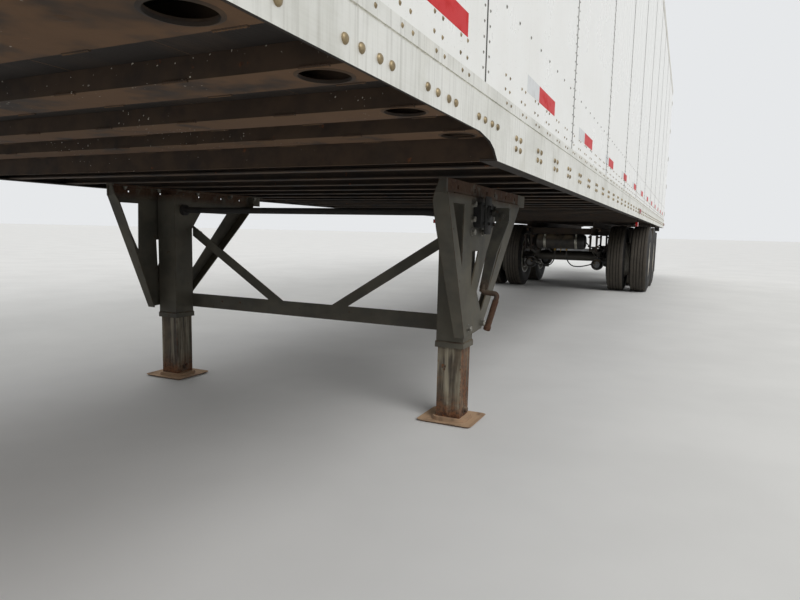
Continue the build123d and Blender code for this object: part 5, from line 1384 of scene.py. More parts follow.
@dataclass
class NoseStructure(Assembly):
    """Weld beads, hole rims and bolts under the upper coupler, seen from below."""

    bottom: float = 1.131
    half_width: float = 1.288
    plate_rear: float = -6.510
    back_y: float = -5.462
    channel_ys: Row = (-6.249, -5.9115, -5.5925)
    channel_width: float = 0.120
    hole_x: float = 1.215
    hole_ys: Row = (-6.580, -6.250, -5.920, -5.575)
    hole_radius: float = 0.0475
    kingpin_y: float = -7.163

    def beads(self) -> None:
        """Stitch welds along the plate's rear edge and both edges of every channel."""
        edges = [self.plate_rear - 0.0005, *pairs(self.channel_ys, self.channel_width / 2)]
        starts = np.arange(-self.half_width + 0.05, self.half_width - 0.08, 0.305)
        self._make("coupler_welds", UNDERCOAT, "undercoated_steel", *(
            weld_bead((start, y, 1.1315), (start + 0.060, y, 1.1315), 0.0032)
            for y in edges for start in starts))

    def hole_rims(self) -> None:
        """Pressed rim round each hole: a ring with a rounded lip standing 2 mm down."""
        hole = self.hole_radius
        ring = hoop([(-0.004, hole - 0.0005), (-0.004, hole + 0.004), (0.0, hole + 0.007),
                     (0.0015, hole + 0.003), (0.0018, hole)], 36)
        places = lattice([-self.hole_x, self.hole_x], self.hole_ys, [self.bottom])
        self._make("coupler_hole_rims", BEAM_COAT, "undercoated_steel", ring.set_at(places, DOWN))

    def plate_fasteners(self) -> None:
        """Kingpin's ring of bolts, plug welds on the plate and bolts through the back plate."""
        ring = np.hstack([circle(0.115, 8) + (0, self.kingpin_y), np.full((8, 1), self.bottom)])
        plugs = lattice(np.linspace(-1.05, 1.05, 8), [-7.75, -7.40, -6.95, -6.62], [self.bottom])
        back = lattice(np.linspace(-1.12, 1.12, 9), [self.back_y + 0.0081], [1.103])
        self._make(
            "coupler_fasteners", UNDERCOAT, "undercoated_steel",
            dome(0.0110, 0.0035, 12, 3).set_at(ring, DOWN),
            dome(0.0140, 0.0018, 14, 2).set_at(plugs, DOWN),
            hex_head(0.019, 0.010, washer=0.014, stud=0.006).set_at(back, BACK))


@dataclass
class LoadSpace(Assembly):
    """Fasteners seen with the doors open: floor screws, post and scuff rivets."""

    floor: float = 1.2106
    board_pitch: float = 0.32193
    boards: int = 8
    wall_inner: float = 1.2793
    scuff_face: float = 1.2764
    pitch: float = 0.1524

    def screws(self) -> None:
        """Two screws in each board over every beam, their heads sunk with a hollow."""
        beams = WallDress.beam_first + WallDress.beam_pitch * np.arange(WallDress.beam_count)
        middles = (np.arange(self.boards) - (self.boards - 1) / 2) * self.board_pitch
        screw = turned([(-0.0010, 0.0062), (0.0003, 0.0062), (-0.0004, 0.0022)], 8)
        places = lattice(pairs(middles, 0.085), beams, [self.floor])
        self._make("floor_screws", ZINC_PLATE, "zinc_steel", screw.set_at(places, UP))

    def rivets(self) -> None:
        """Rivets up both edges of every wall post, and along the scuff bands."""
        posts = lattice([self.wall_inner - 0.0028], pairs(WallDress.seams, 0.035),
                        np.arange(1.60, 3.98, self.pitch))
        bands = lattice([self.scuff_face], np.arange(-7.80, 7.82, self.pitch), [1.245, 1.495])
        heads = dome(0.0050, 0.0022, 6, 2).set_at(np.vstack([posts, bands]), (-1, 0, 0))
        self._make("inside_rivets", ZINC_PLATE, "galvanised_steel", heads, both=True)


@dataclass
class SideLamps(Assembly):
    """Bezels and screws of the lamps on and under both rails."""

    face: float = 1.2958
    lamp_ys: tuple[float, float] = (0.140, 7.650)
    lamp_z: float = 1.1485
    hung_face: float = 1.2454
    hung_y: float = 0.400
    hung_z: float = 1.0097

    def bezels(self) -> None:
        """Frame and two screws round each lamp on the rail, two bolts behind each hung lamp."""
        lip = [(-0.009, 0.0001), (-0.009, 0.004), (-0.004, 0.008), (-0.0003, 0.008), (-0.0003, 0.0001)]
        ears = lattice([self.face + 0.0075], pairs(self.lamp_ys, 0.079), [self.lamp_z])
        bolts = lattice([self.hung_face], pairs([self.hung_y], 0.018), [self.hung_z])
        frames = rim(0.150, 0.045, lip).set_at(lattice([self.face], self.lamp_ys, [self.lamp_z]), OUT)
        self._make(
            "lamp_bezels_side", ZINC_PLATE, "zinc_steel", frames,
            dome(0.0030, 0.0020, 8, 2).set_at(ears, OUT),
            hex_head(0.010, 0.005, washer=0.008).set_at(bolts, (-1, 0, 0)), both=True)


@dataclass
class LandingGear(Assembly):
    """Bolts, welds, pins and pivots on the landing gear, on both legs alike but for the crank."""

    leg_x: float = 0.860
    leg_y: float = -4.567
    leg_half: float = 0.0645
    collar_z: float = 0.3708
    bracket_face: float = 0.9501
    bracket_top: float = 1.024
    bolt_rows: tuple[tuple[float, float], ...] = (
        (-4.636, 0.991), (-4.642, 0.926), (-4.636, 0.870), (-4.497, 0.870),
        (-4.643, 0.446), (-4.455, 0.445))
    brace_rows: tuple[tuple[float, float], ...] = (
        (0.905, 0.420), (0.905, 0.457), (0.812, 0.420), (0.812, 0.457),
        (0.775, 0.843), (0.748, 0.828), (0.180, 0.455), (0.215, 0.440))
    brace_y: float = -4.4961
    angle_x: float = 0.9228
    angle_ys: Row = (-4.85, -4.62, -4.32, -4.02, -3.78)
    angle_z: float = 1.0708
    shaft_z: float = 0.957
    box_face: float = 0.9843
    crank_x: float = 1.0246
    crank_y: float = -4.530

    def bracket_bolts(self) -> None:
        """Hex bolts through the brackets' plates, and through the top angles into the beams."""
        places = [(self.bracket_face, y, z) for y, z in self.bolt_rows]
        angle = lattice([self.angle_x], self.angle_ys, [self.angle_z])
        self._make(
            "bracket_bolts", BOLT_STEEL, "zinc_steel",
            hex_head(0.024, 0.015, washer=0.0175).set_at(places, OUT),
            hex_head(0.018, 0.011, washer=0.0125, stud=0.006).set_at(angle, DOWN), both=True)

    def brace_bolts(self) -> None:
        """Two bolts at each end of the brace's bar, of its diagonals, and where they meet."""
        places = [(x, self.brace_y, z) for x, z in self.brace_rows]
        heads = hex_head(0.022, 0.013, washer=0.016, stud=0.007).set_at(places, BACK)
        self._make("brace_bolts", BOLT_STEEL, "zinc_steel", heads, both=True)

    def welds(self) -> None:
        """Weld beads round the collar of each leg, and along the top of each bracket."""
        inner, outer = self.leg_x - self.leg_half, self.leg_x + self.leg_half
        front, back = self.leg_y - self.leg_half, self.leg_y + self.leg_half
        runs = [((inner, front), (outer, front)), ((inner, back), (outer, back)),
                ((outer, front), (outer, back)), ((inner, front), (inner, back))]
        beads = [weld_pair((*start, self.collar_z), (*end, self.collar_z)) for start, end in runs]
        top = weld_pair((0.9435, -4.86, self.bracket_top), (0.9435, -3.86, self.bracket_top))
        self._make("gear_welds", GEAR_PAINT_SHADED, "weathered_grey", *beads, top)

    def shoe_pins(self) -> None:
        """Pin through the foot of each inner tube, with a flat washer at both ends."""
        pin = turned([(0.0, 0.021), (0.004, 0.021), (0.004, 0.0125), (0.016, 0.0125), (0.018, 0.0105)],
                     20)
        pins = [
            pin.set_at((self.leg_x + hand * 0.0576, self.leg_y, 0.052), (hand, 0, 0))
            for hand in (-1, 1)]
        self._make("shoe_pins", RUSTY_STEEL, "rusty_steel", *pins, both=True)

    def gearbox_trim(self) -> None:
        """Cover flange, its screws, the shaft's bosses and its collars on the inner faces."""
        cover = prism(oblong(0.094, 0.168, 0.016), [(0, 1), (0.0045, 1), (0.006, 0.96)])
        rows = self.crank_y + np.array([-0.074, 0.0, 0.074])
        screws = lattice([self.box_face + 0.006], rows, [0.908, 0.982])
        boss = turned([(0, 0.034), (0.010, 0.032), (0.014, 0.022), (0.017, 0.0165)], 24)
        collar = turned([(0, 0.030), (0.020, 0.030), (0.024, 0.022)], 24)
        inner = (self.leg_x - self.leg_half, self.leg_y, self.shaft_z)
        self._make(
            "gearbox_trim", GEARBOX_PAINT, "gear_grey",
            cover.set_at((self.box_face, self.crank_y, 0.945), OUT),
            hex_head(0.013, 0.008, washer=0.009).set_at(screws, OUT),
            boss.set_at((self.box_face + 0.0015, self.crank_y, self.shaft_z), OUT),
            collar.set_at(inner, (-1, 0, 0)).both())

    def crank_pivots(self) -> None:
        """Pin through the crank's head, collars on its shaft and bar, and the grip's end ring."""
        pin = turned([(0, 0.0135), (0.004, 0.0135), (0.004, 0.009), (0.010, 0.009), (0.0115, 0.007)], 16)
        collar = turned([(0, 0.0185), (0.011, 0.0185), (0.013, 0.0165)], 20)
        ring = turned([(0, 0.0145), (0.002, 0.0158), (0.012, 0.0158), (0.014, 0.0145)], 20)
        end = turned([(0, 0.0155), (0.003, 0.0168), (0.016, 0.0168), (0.020, 0.0152)], 20)
        x, y, z = self.crank_x, self.crank_y, self.shaft_z
        self._make(
            "crank_pivots", CRANK_STEEL, "rusty_steel",
            pin.set_at((x + 0.032, y - 0.015, z - 0.012), AHEAD),
            pin.set_at((x + 0.032, y + 0.015, z - 0.012), BACK),
            collar.set_at((x - 0.0145, y, z), OUT),
            ring.set_at((x - 0.0479, y, z - 0.343), (-0.13, 0, -0.99)),
            end.set_at((x - 0.0236, y, z - 0.5295), (0.264, 0, 0.965)))


# Running gear


@dataclass
class WheelPair(Assembly):
    """Two road tyres side by side at one end of one axle, with nuts, hub cap and tyre valve."""

    axle: str
    hand: str
    crown_radius: float = 0.515
    middle_x: float = 0.982
    spacing: float = 0.171
    axle_z: float = 0.515
    cuts: int = 180
    ribs: tuple[tuple[float, float], ...] = (
        (0.000, 0.0), (0.0165, 0.0), (0.0185, 0.013), (0.0275, 0.013), (0.0295, 0.0003),
        (0.0570, 0.0008), (0.0590, 0.0135), (0.0680, 0.0135), (0.0700, 0.0014),
        (0.0950, 0.0028), (0.1080, 0.0044), (0.1130, 0.0072), (0.1155, 0.0125),
        (0.1165, 0.0240))
    wall_spots: tuple[tuple[float, float], ...] = ((0.1175, 0.480), (0.1380, 0.404), (0.1135, 0.3035))
    bead_spots: tuple[tuple[float, float], ...] = ((0.1105, 0.3003), (0.1090, 0.2872))
    disc_face: float = 0.0102
    nut_circle: float = 0.1429
    nuts: int = 10
    cap_flange: float = 0.110
    cap_circle: float = 0.0958
    cap_bolts: int = 6

    def __post_init__(self) -> None:
        """Name the pair and the body that carries it."""
        self.pair = f"{self.axle}_{self.hand}"
        self.body = f"wheel_{self.pair}"

    def _spot(self, out: float, rise: float = 0.0) -> Triple:
        """Place at a distance out from the pair's middle, and at a height over the axle."""
        return SIDES[self.hand] * (self.middle_x + out), AXLES[self.axle], self.axle_z + rise

    def _around(self, out: float, radius: float, count: int) -> np.ndarray:
        """Places evenly spaced on a circle about the axle, at a distance out from the middle."""
        return self._spot(out) + np.insert(circle(radius, count, np.pi / count), 0, 0.0, axis=1)

    def _section(self) -> np.ndarray:
        """Tyre's section from bead to bead: tread, then each wall an arc through three points.

        Returns:
            Place out from the middle and radius, one row for each point.
        """
        tread = [(out, self.crown_radius - drop) for out, drop in self.ribs]
        top, wide, foot = np.array(self.wall_spots)
        chords = np.array([wide - top, foot - wide])
        middles = np.array([top + wide, wide + foot]) / 2
        centre = np.linalg.solve(chords, (chords * middles).sum(1))
        first, last = (math.atan2(*(spot - centre)[::-1]) for spot in (top, foot))
        angles = np.linspace(first, last, 19)
        wall = centre + math.dist(wide, centre) * np.column_stack([np.cos(angles), np.sin(angles)])
        wall[[3, 15], 0] += 0.0012
        half = np.vstack([tread, wall, self.bead_spots])
        return np.vstack([half[::-1] * (-1, 1), half[1:]])

    def tyres(self) -> None:
        """Two tyres: the section turned about the axle, with notches in turn round the tread."""
        section = self._section()
        out, reach = np.abs(section[:, 0]), section[:, 1]
        shoulder = (reach > 0.485) & (out > 0.106)
        rib_edge = (reach > 0.5115) & (out > 0.014) & (out < 0.072)
        step = np.arange(self.cuts)[:, None]
        radius = reach - 0.0065 * (step % 5 == 0) * shoulder - 0.0030 * (step % 3 == 0) * rib_edge
        angle = step * 2 * np.pi / self.cuts
        tyres = []
        for shift in (-self.spacing, self.spacing):
            middle, axle_y, axle_z = self._spot(shift)
            across = np.broadcast_to(middle + section[:, 0], radius.shape)
            around = [across, axle_y + radius * np.sin(angle), axle_z - radius * np.cos(angle)]
            tyres.append(skin(np.stack(around, -1), loop=True))
        self._make(
            f"road_tyres_{self.pair}", TYRE, "tyre_rubber", *tyres, replaces=f"tyres_{self.pair}",
            smooth=28.0)

    def trim(self) -> None:
        """Wheel nuts on their studs, and the hub cap with its flange, bolts and window."""
        out = (SIDES[self.hand], 0, 0)
        nut = hex_head(0.033, 0.024, washer=0.0225, stud=0.0105)
        nuts = nut.set_at(self._around(self.disc_face, self.nut_circle, self.nuts), out)
        self._make(f"wheel_nuts_{self.pair}", RUSTY_STEEL, "rusty_steel", nuts)
        flange = turned([(0.1000, 0.0935), (0.1000, 0.1010), (0.1080, 0.1010), (0.1100, 0.0990),
                         (0.1100, 0.0905)], 36)
        cap = turned([(0.1190, 0.0870), (0.1195, 0.0800), (0.1380, 0.0660), (0.1430, 0.0560),
                      (0.1440, 0.0300), (0.1465, 0.0290), (0.1465, 0.0240), (0.1440, 0.0230)], 36)
        bolts = self._around(self.cap_flange, self.cap_circle, self.cap_bolts)
        self._make(
            f"hub_cap_{self.pair}", ZINC_PLATE, "zinc_steel", flange.set_at(self._spot(0.0), out),
            cap.set_at(self._spot(0.0), out), hex_head(0.013, 0.006, washer=0.009).set_at(bolts, out))

    def valve(self) -> None:
        """Tyre valve: a stem through a hand hole of the outer wheel, with its cap."""
        stem = turned([(0, 0.0075), (0.006, 0.0070), (0.007, 0.0038), (0.040, 0.0038),
                       (0.041, 0.0052), (0.052, 0.0052), (0.054, 0.0040)], 12)
        valve = stem.set_at(self._spot(0.052, 0.262), (SIDES[self.hand], 0, -0.25))
        self._make(f"tyre_valve_{self.pair}", BRASS, "zinc_steel", valve)


@dataclass
class Suspension(Assembly):
    """Leaf packs with their U bolts, and the equalising hangers' bolts."""

    body: str = "tandem"
    spring_x: float = 0.500
    half_width: float = 0.0375
    half_length: float = 0.5995
    seat_z: float = 0.6069
    camber: float = 0.0550
    leaf: float = 0.0120
    leaf_lengths: Triple = (1.0, 0.82, 0.60)
    bolt_reach: float = 0.062
    bolt_spread: float = 0.046
    bolt_radius: float = 0.0085
    axle_z: float = 0.515
    hanger_ys: Triple = (2.5495, 3.7945, 5.0395)
    hanger_face: float = 0.0551

    def leaves(self) -> None:
        """Three flat leaves to a spring: height grows as the square of the way from the axle."""
        outline = oblong(2 * self.half_width, self.leaf * 0.94, 0.003, 2)
        leaves = []
        for axle_y in AXLES.values():
            for number, share in enumerate(self.leaf_lengths):
                along = np.linspace(-self.half_length, self.half_length, 25) * share
                height = self.seat_z + self.leaf * (2.5 - number)
                height = height + self.camber * (along / self.half_length) ** 2
                path = np.column_stack([np.full(len(along), self.spring_x), along + axle_y, height])
                leaves.append(carried(outline, path))
        self._make(
            "spring_leaves", SPRING_COAT, "spring_steel", *leaves, both=True,
            replaces="leaf_springs")

    def clamps(self) -> None:
        """Top plate, U bolts and bottom plate round each spring and axle, with their nuts."""
        top = self.seat_z + 3 * self.leaf + 0.0008
        foot = self.axle_z - 0.0655
        bend = np.linspace(0, np.pi, 13)
        across = self.spring_x + self.bolt_spread * np.cos(bend)
        over = top + 0.013 + self.bolt_radius + 0.012 * np.sin(bend)
        xs = np.concatenate([across[[0, 0]], across, across[[-1, -1]]])
        zs = np.concatenate([[foot - 0.040, top], over, [top, foot - 0.040]])
        plate = prism(oblong(0.112, 0.168, 0.012), [(0, 1), (0.011, 1), (0.013, 0.97)])
        nut = hex_head(0.026, 0.018, washer=0.016)
        parts = []
        for axle_y in AXLES.values():
            parts.append(plate.set_at((self.spring_x, axle_y, top), UP))
            parts.append(plate.set_at((self.spring_x, axle_y, foot), DOWN))
            for spot in pairs([axle_y], self.bolt_reach):
                path = np.column_stack([xs, np.full(len(xs), spot), zs])
                parts.append(carried(circle(self.bolt_radius, 8), path, up=BACK))
                parts.append(nut.set_at(lattice(across[[0, -1]], [spot], [foot - 0.0129]), DOWN))
        self._make("spring_clamps", AXLE_PAINT, "axle_paint", *parts, both=True)

    def hanger_bolts(self) -> None:
        """Pivot bolts through each hanger, head outside and nut inside."""
        head = hex_head(0.030, 0.016, washer=0.020, stud=0.009)
        bolts = [
            head.set_at(
                lattice([self.spring_x + hand * self.hanger_face], self.hanger_ys, [0.700, 0.842]),
                (hand, 0, 0))
            for hand in (-1, 1)]
        self._make("hanger_bolts", RUSTY_STEEL, "rusty_steel", *bolts, both=True)


@dataclass
class Brakes(Assembly):
    """Clamp bands, stepped faces, bosses and bolts on the four brake chambers."""

    body: str = "tandem"
    chamber_x: float = 0.530
    chamber_z: float = 0.412
    front_reach: float = 0.370
    radius: float = 0.085
    bands: tuple[float, float] = (0.062, 0.128)

    def clamps(self) -> None:
        """Two clamp bands round each chamber, and its stepped face with a ring of bosses."""
        low, high = self.radius - 0.004, self.radius + 0.006
        parts = [
            turned([(at - 0.009, low), (at - 0.007, high), (at + 0.007, high), (at + 0.009, low)], 32)
            for at in self.bands]
        face = turned([(-0.0005, 0.050), (0.0060, 0.046), (0.0065, 0.026), (0.0160, 0.024),
                       (0.0200, 0.020)], 28)
        ring = np.insert(circle(0.0365, 8), 1, -0.0055, axis=1)
        forms = []
        for axle_y in AXLES.values():
            centre = (self.chamber_x, axle_y - self.front_reach, self.chamber_z)
            forms += [part.set_at(centre, BACK) for part in parts]
            forms += [face.set_at(centre, AHEAD), dome(0.006, 0.006, 8, 3).set_at(ring + centre, AHEAD)]
        self._make("chamber_clamps", CAST_PAINT, "tank_black", *forms, both=True)

    def bolts(self) -> None:
        """Bolts through the bands' ears, and the pins at both ends of each slack lever."""
        ear_bolt, pin = hex_head(0.013, 0.030), hex_head(0.024, 0.010, washer=0.016)
        forms = []
        for axle_y in AXLES.values():
            bands = [axle_y - self.front_reach + band for band in self.bands]
            ears = lattice(pairs([self.chamber_x], 0.0905), bands, [self.chamber_z - 0.015])
            lever = lattice([self.chamber_x], [axle_y - 0.115], [self.chamber_z, 0.515])
            forms.append(ear_bolt.set_at(ears, UP))
            forms += [pin.set_at(lever + (hand * 0.0151, 0, 0), (hand, 0, 0)) for hand in (1, -1)]
        self._make("chamber_bolts", ZINC_PLATE, "zinc_steel", *forms, both=True)


@dataclass
class TandemTrim(Assembly):
    """Tank straps and fittings, hose ends, flap clamps, slider holes and locking pins."""

    body: str = "tandem"
    tank_y: float = 2.6045
    tank_z: float = 0.7652
    tank_radius: float = 0.115
    tank_rear: float = 2.7191
    tank_foot: float = 0.6506
    seam_x: float = 0.333
    strap_x: float = 0.240
    frame_low: float = 0.8725
    flap_x: float = 0.9785
    flap_half: float = 0.300
    flap_face: float = 5.0742
    arm_z: float = 0.9275
    rail_x: float = 0.500
    rail_z: float = 1.0307
    slider_face: float = 0.5452
    pin_z: float = 0.9475
    hose_ends: tuple[Triple, ...] = ((0.500, 2.8015, 0.432), (0.500, 4.0465, 0.432))

    def tank_straps(self) -> None:
        """Two bands round the tank, each with rolled edges, hung from the cross channel."""
        rolled = ((-0.019, 0.0003), (-0.019, 0.0022), (-0.016, 0.0034), (0.016, 0.0034),
                  (0.019, 0.0022), (0.019, 0.0003))
        band = hoop([(place, self.tank_radius + proud) for place, proud in rolled], 48)
        x, low, ys = self.strap_x, self.frame_low, pairs([self.tank_y], 0.090)
        rod = turned([(-0.1050, 0.0050), (0.0, 0.0050)], 10)
        clips = [block((x - 0.014, y - 0.016, 0.7640), (x + 0.014, y + 0.012, 0.7690)) for y in ys]
        self._make(
            "tank_straps", ZINC_PLATE, "zinc_steel", band.set_at((x, self.tank_y, self.tank_z), OUT),
            rod.set_at(lattice([x], ys, [low + 0.006]), UP),
            hex_head(0.016, 0.009, washer=0.012).set_at(lattice([x], ys, [low - 0.0002]), DOWN),
            *clips, both=True)

    def tank_fittings(self) -> None:
        """End welds, ports with hexagon bushes, drain cock and its pull ring."""
        seam = hoop([(-0.003, 0.1146), (0.0, 0.1172), (0.003, 0.1146)], 48)
        seam = seam.set_at((self.seam_x, self.tank_y, self.tank_z), OUT)
        self._make("tank_seams", TANK_PAINT, "tank_black", seam, both=True)
        bush = Form.joined([
            hex_head(0.030, 0.012), turned([(0.011, 0.0130), (0.026, 0.0130), (0.028, 0.0115)], 16)])
        cock = Form.joined([
            hex_head(0.022, 0.014), turned([(0.013, 0.007), (0.030, 0.006), (0.032, 0.004)], 12)])
        ring = hoop([(-0.0016, 0.0100), (0.0016, 0.0100), (0.0016, 0.0132), (-0.0016, 0.0132)], 20)
        self._make(
            "tank_fittings", BRASS, "zinc_steel",
            bush.set_at(lattice([-0.090, 0.090], [self.tank_y], [self.tank_foot]), DOWN),
            bush.set_at(lattice([-0.200, 0.200], [self.tank_rear], [self.tank_z]), BACK),
            cock.set_at((0.0, self.tank_y, self.tank_foot), DOWN),
            ring.set_at((0.0, self.tank_y, 0.6080), OUT))

    def hose_ferrules(self) -> None:
        """Crimped ferrule and swivel nut at each hose's end on its brake chamber."""
        ferrule = turned([(0.012, 0.0118), (0.040, 0.0118), (0.043, 0.0102)], 18)
        ends = [form.set_at(self.hose_ends, AHEAD) for form in (hex_head(0.024, 0.013), ferrule)]
        self._make("hose_ferrules", BRASS, "zinc_steel", *ends, both=True)

    def flap_clamps(self) -> None:
        """Clamp bar across the top of each flap with its bolts, and ribs down the flap."""
        low, high = self.flap_x - self.flap_half, self.flap_x + self.flap_half
        bar = block((low, self.flap_face + 0.0083, self.arm_z - 0.022),
                    (high, self.flap_face + 0.0125, self.arm_z + 0.014))
        bolts = hex_head(0.016, 0.009, washer=0.012, stud=0.005).set_at(
            lattice(np.linspace(low, high, 7)[1:-1], [self.flap_face + 0.0125], [self.arm_z - 0.004]),
            BACK)
        self._make("flap_clamps", ZINC_PLATE, "zinc_steel", bar, bolts, both=True)
        outline = [[-0.004, -0.0004], [0.004, -0.0004], [0.0025, 0.0022], [-0.0025, 0.0022]]
        ribs = [
            carried(outline, lattice([x], [face], np.linspace(0.245, 0.880, 3)), up=out)
            for x in np.linspace(low, high, 12)[1:-1]
            for face, out in ((self.flap_face + 0.0081, BACK), (self.flap_face - 0.0001, AHEAD))]
        self._make("flap_ribs", FLAP, "flap_rubber", *ribs, both=True)

    def slider_holes(self) -> None:
        """Rims of the locking holes along the body rails, dark discs in the holes as painted shade, and
        the slider's drawn back pins.
        """
        ring = hoop([(-0.0003, 0.0150), (0.0016, 0.0150), (0.0024, 0.0175), (0.0016, 0.0215),
                     (-0.0003, 0.0225)], 20)
        # Thin dark disc at each hole: painted shade standing for the hole's depth
        well = turned([(0.0001, 0.0152), (0.0004, 0.0150)], 20)
        ys = np.arange(2.62, 7.60, 0.1524)
        for name, form, finish in (("rims", ring, BEAM_COAT), ("wells", well, SEAL)):
            holes = [
                form.set_at(lattice([self.rail_x + hand * 0.0041], ys, [self.rail_z]), (hand, 0, 0))
                for hand in (-1, 1)]
            self._make(f"locking_hole_{name}", finish, "undercoated_steel", *holes, body="trailer",
                       both=True)
        pin = turned([(0, 0.026), (0.006, 0.026), (0.007, 0.0155), (0.030, 0.0155), (0.034, 0.0120)], 20)
        pins = pin.set_at(lattice([self.slider_face], [2.70, 4.88], [self.pin_z]), OUT)
        self._make("slider_pins", RUSTY_STEEL, "rusty_steel", pins, both=True)


# Rear


@dataclass
class RearDoor(Assembly):
    """Seal, bolts, bearings, catch and tape of one door leaf, which swing with it."""

    hand: str
    door_face: float = 8.0150
    leaf_x: float = 0.595
    leaf_z: float = 2.5993
    leaf_width: float = 1.174
    leaf_height: float = 2.7614
    pin_y: float = 8.021
    rod_x: float = 0.330
    rod_y: float = 8.049
    hinge_zs: Row = (1.400, 2.0125, 2.625, 3.2375, 3.850)
    guide_zs: Row = (1.480, 2.620, 3.760)
    handle_z: float = 1.750
    catch_x: float = 0.6725
    catch_y: float = 8.0610
    tape_edges: Row = (0.045, 0.325, 0.503, 0.783, 0.961, 1.080)

    def __post_init__(self) -> None:
        """Name the body that carries this leaf."""
        self.body = f"door_{self.hand}"

    def _hung(self, stem: str, finish: Finish, slot: str, *forms: Form) -> None:
        """Make a piece of this door from the left door's forms, mirrored for the right.

        Args:
            stem: Name of the piece without its side.
            finish: Its surface finish.
            slot: Material slot of the record.
            forms: Points and faces on the left door.
        """
        form = Form.joined(forms)
        form = form if self.hand == "left" else form.scaled((-1, 1, 1), True)
        self._make(f"{stem}_{self.hand}", finish, slot, form)

    def seal(self) -> None:
        """Rubber seal round a leaf: one lip on its face and one in the gap beside it."""
        lip = [(-0.0062, -0.030), (-0.0062, 0.0012), (-0.0040, 0.0032), (0.0180, 0.0032),
               (0.0215, 0.0004), (-0.0003, 0.0004), (-0.0003, -0.030)]
        seal = rim(self.leaf_width, self.leaf_height, lip)
        place = (self.leaf_x, self.door_face, self.leaf_z)
        self._hung("door_seal", SEAL, "flap_rubber", seal.set_at(place, BACK))

    def fasteners(self) -> None:
        """Strap bolts, rod bearings with their bolts, and the handle's catch, pivot and grip."""
        x, y, level = self.catch_x, self.catch_y, self.handle_z
        straps = lattice([1.108, 1.156], [self.pin_y], pairs(self.hinge_zs, 0.016))
        guides = lattice(pairs([self.rod_x], 0.034), [self.rod_y], self.guide_zs)
        catch_bolts = lattice([0.650, 0.696], [8.0185], [1.712, 1.788])
        bearing = hoop([(-0.012, 0.0138), (-0.012, 0.0188), (-0.009, 0.0205), (0.009, 0.0205),
                        (0.012, 0.0188), (0.012, 0.0138)], 24)
        grip = turned([(0, 0.0100), (0.004, 0.0148), (0.052, 0.0148), (0.0558, 0.0105)], 16)
        lug = hoop([(-0.003, 0.0065), (-0.003, 0.0150), (0.003, 0.0150), (0.003, 0.0065)], 20)
        pin = turned([(-0.055, 0.0052), (0.045, 0.0052), (0.049, 0.0090), (0.053, 0.0090)], 12)
        arms = [
            block((x - 0.0175, 8.0180, low), (x + 0.0175, 8.0600, low + 0.005))
            for low in (1.7665, 1.7285)]
        self._hung(
            "door_fasteners", ZINC_PLATE, "zinc_steel", dome(0.0095, 0.0050, 12, 3).set_at(straps, BACK),
            hex_head(0.014, 0.007, washer=0.0105).set_at(guides, BACK),
            bearing.set_at(lattice([self.rod_x], [self.rod_y], self.guide_zs), UP),
            dome(0.0105, 0.0050, 12, 3).set_at((self.rod_x, 8.0710, level), BACK),
            grip.set_at((0.7165, self.rod_y, level), OUT),
            block((0.640, 8.0151, 1.700), (0.706, 8.0185, 1.800)), *arms,
            lug.set_at(lattice([x], [y], pairs([level], 0.019)), UP),
            dome(0.0070, 0.0040, 10, 3).set_at(catch_bolts, BACK), pin.set_at((x, y, level), UP))

    def tape(self) -> None:
        """Red and white tape across the foot of a leaf."""
        side, near, far = SIDES[self.hand], self.door_face - 0.0001, self.door_face + 0.0004
        runs = [
            ((side * low, near, 1.262), (side * high, far, 1.313), float(number % 2))
            for number, (low, high) in enumerate(zip(self.tape_edges, self.tape_edges[1:]))]
        self._tape(f"door_tape_{self.hand}", "white_panel", runs)


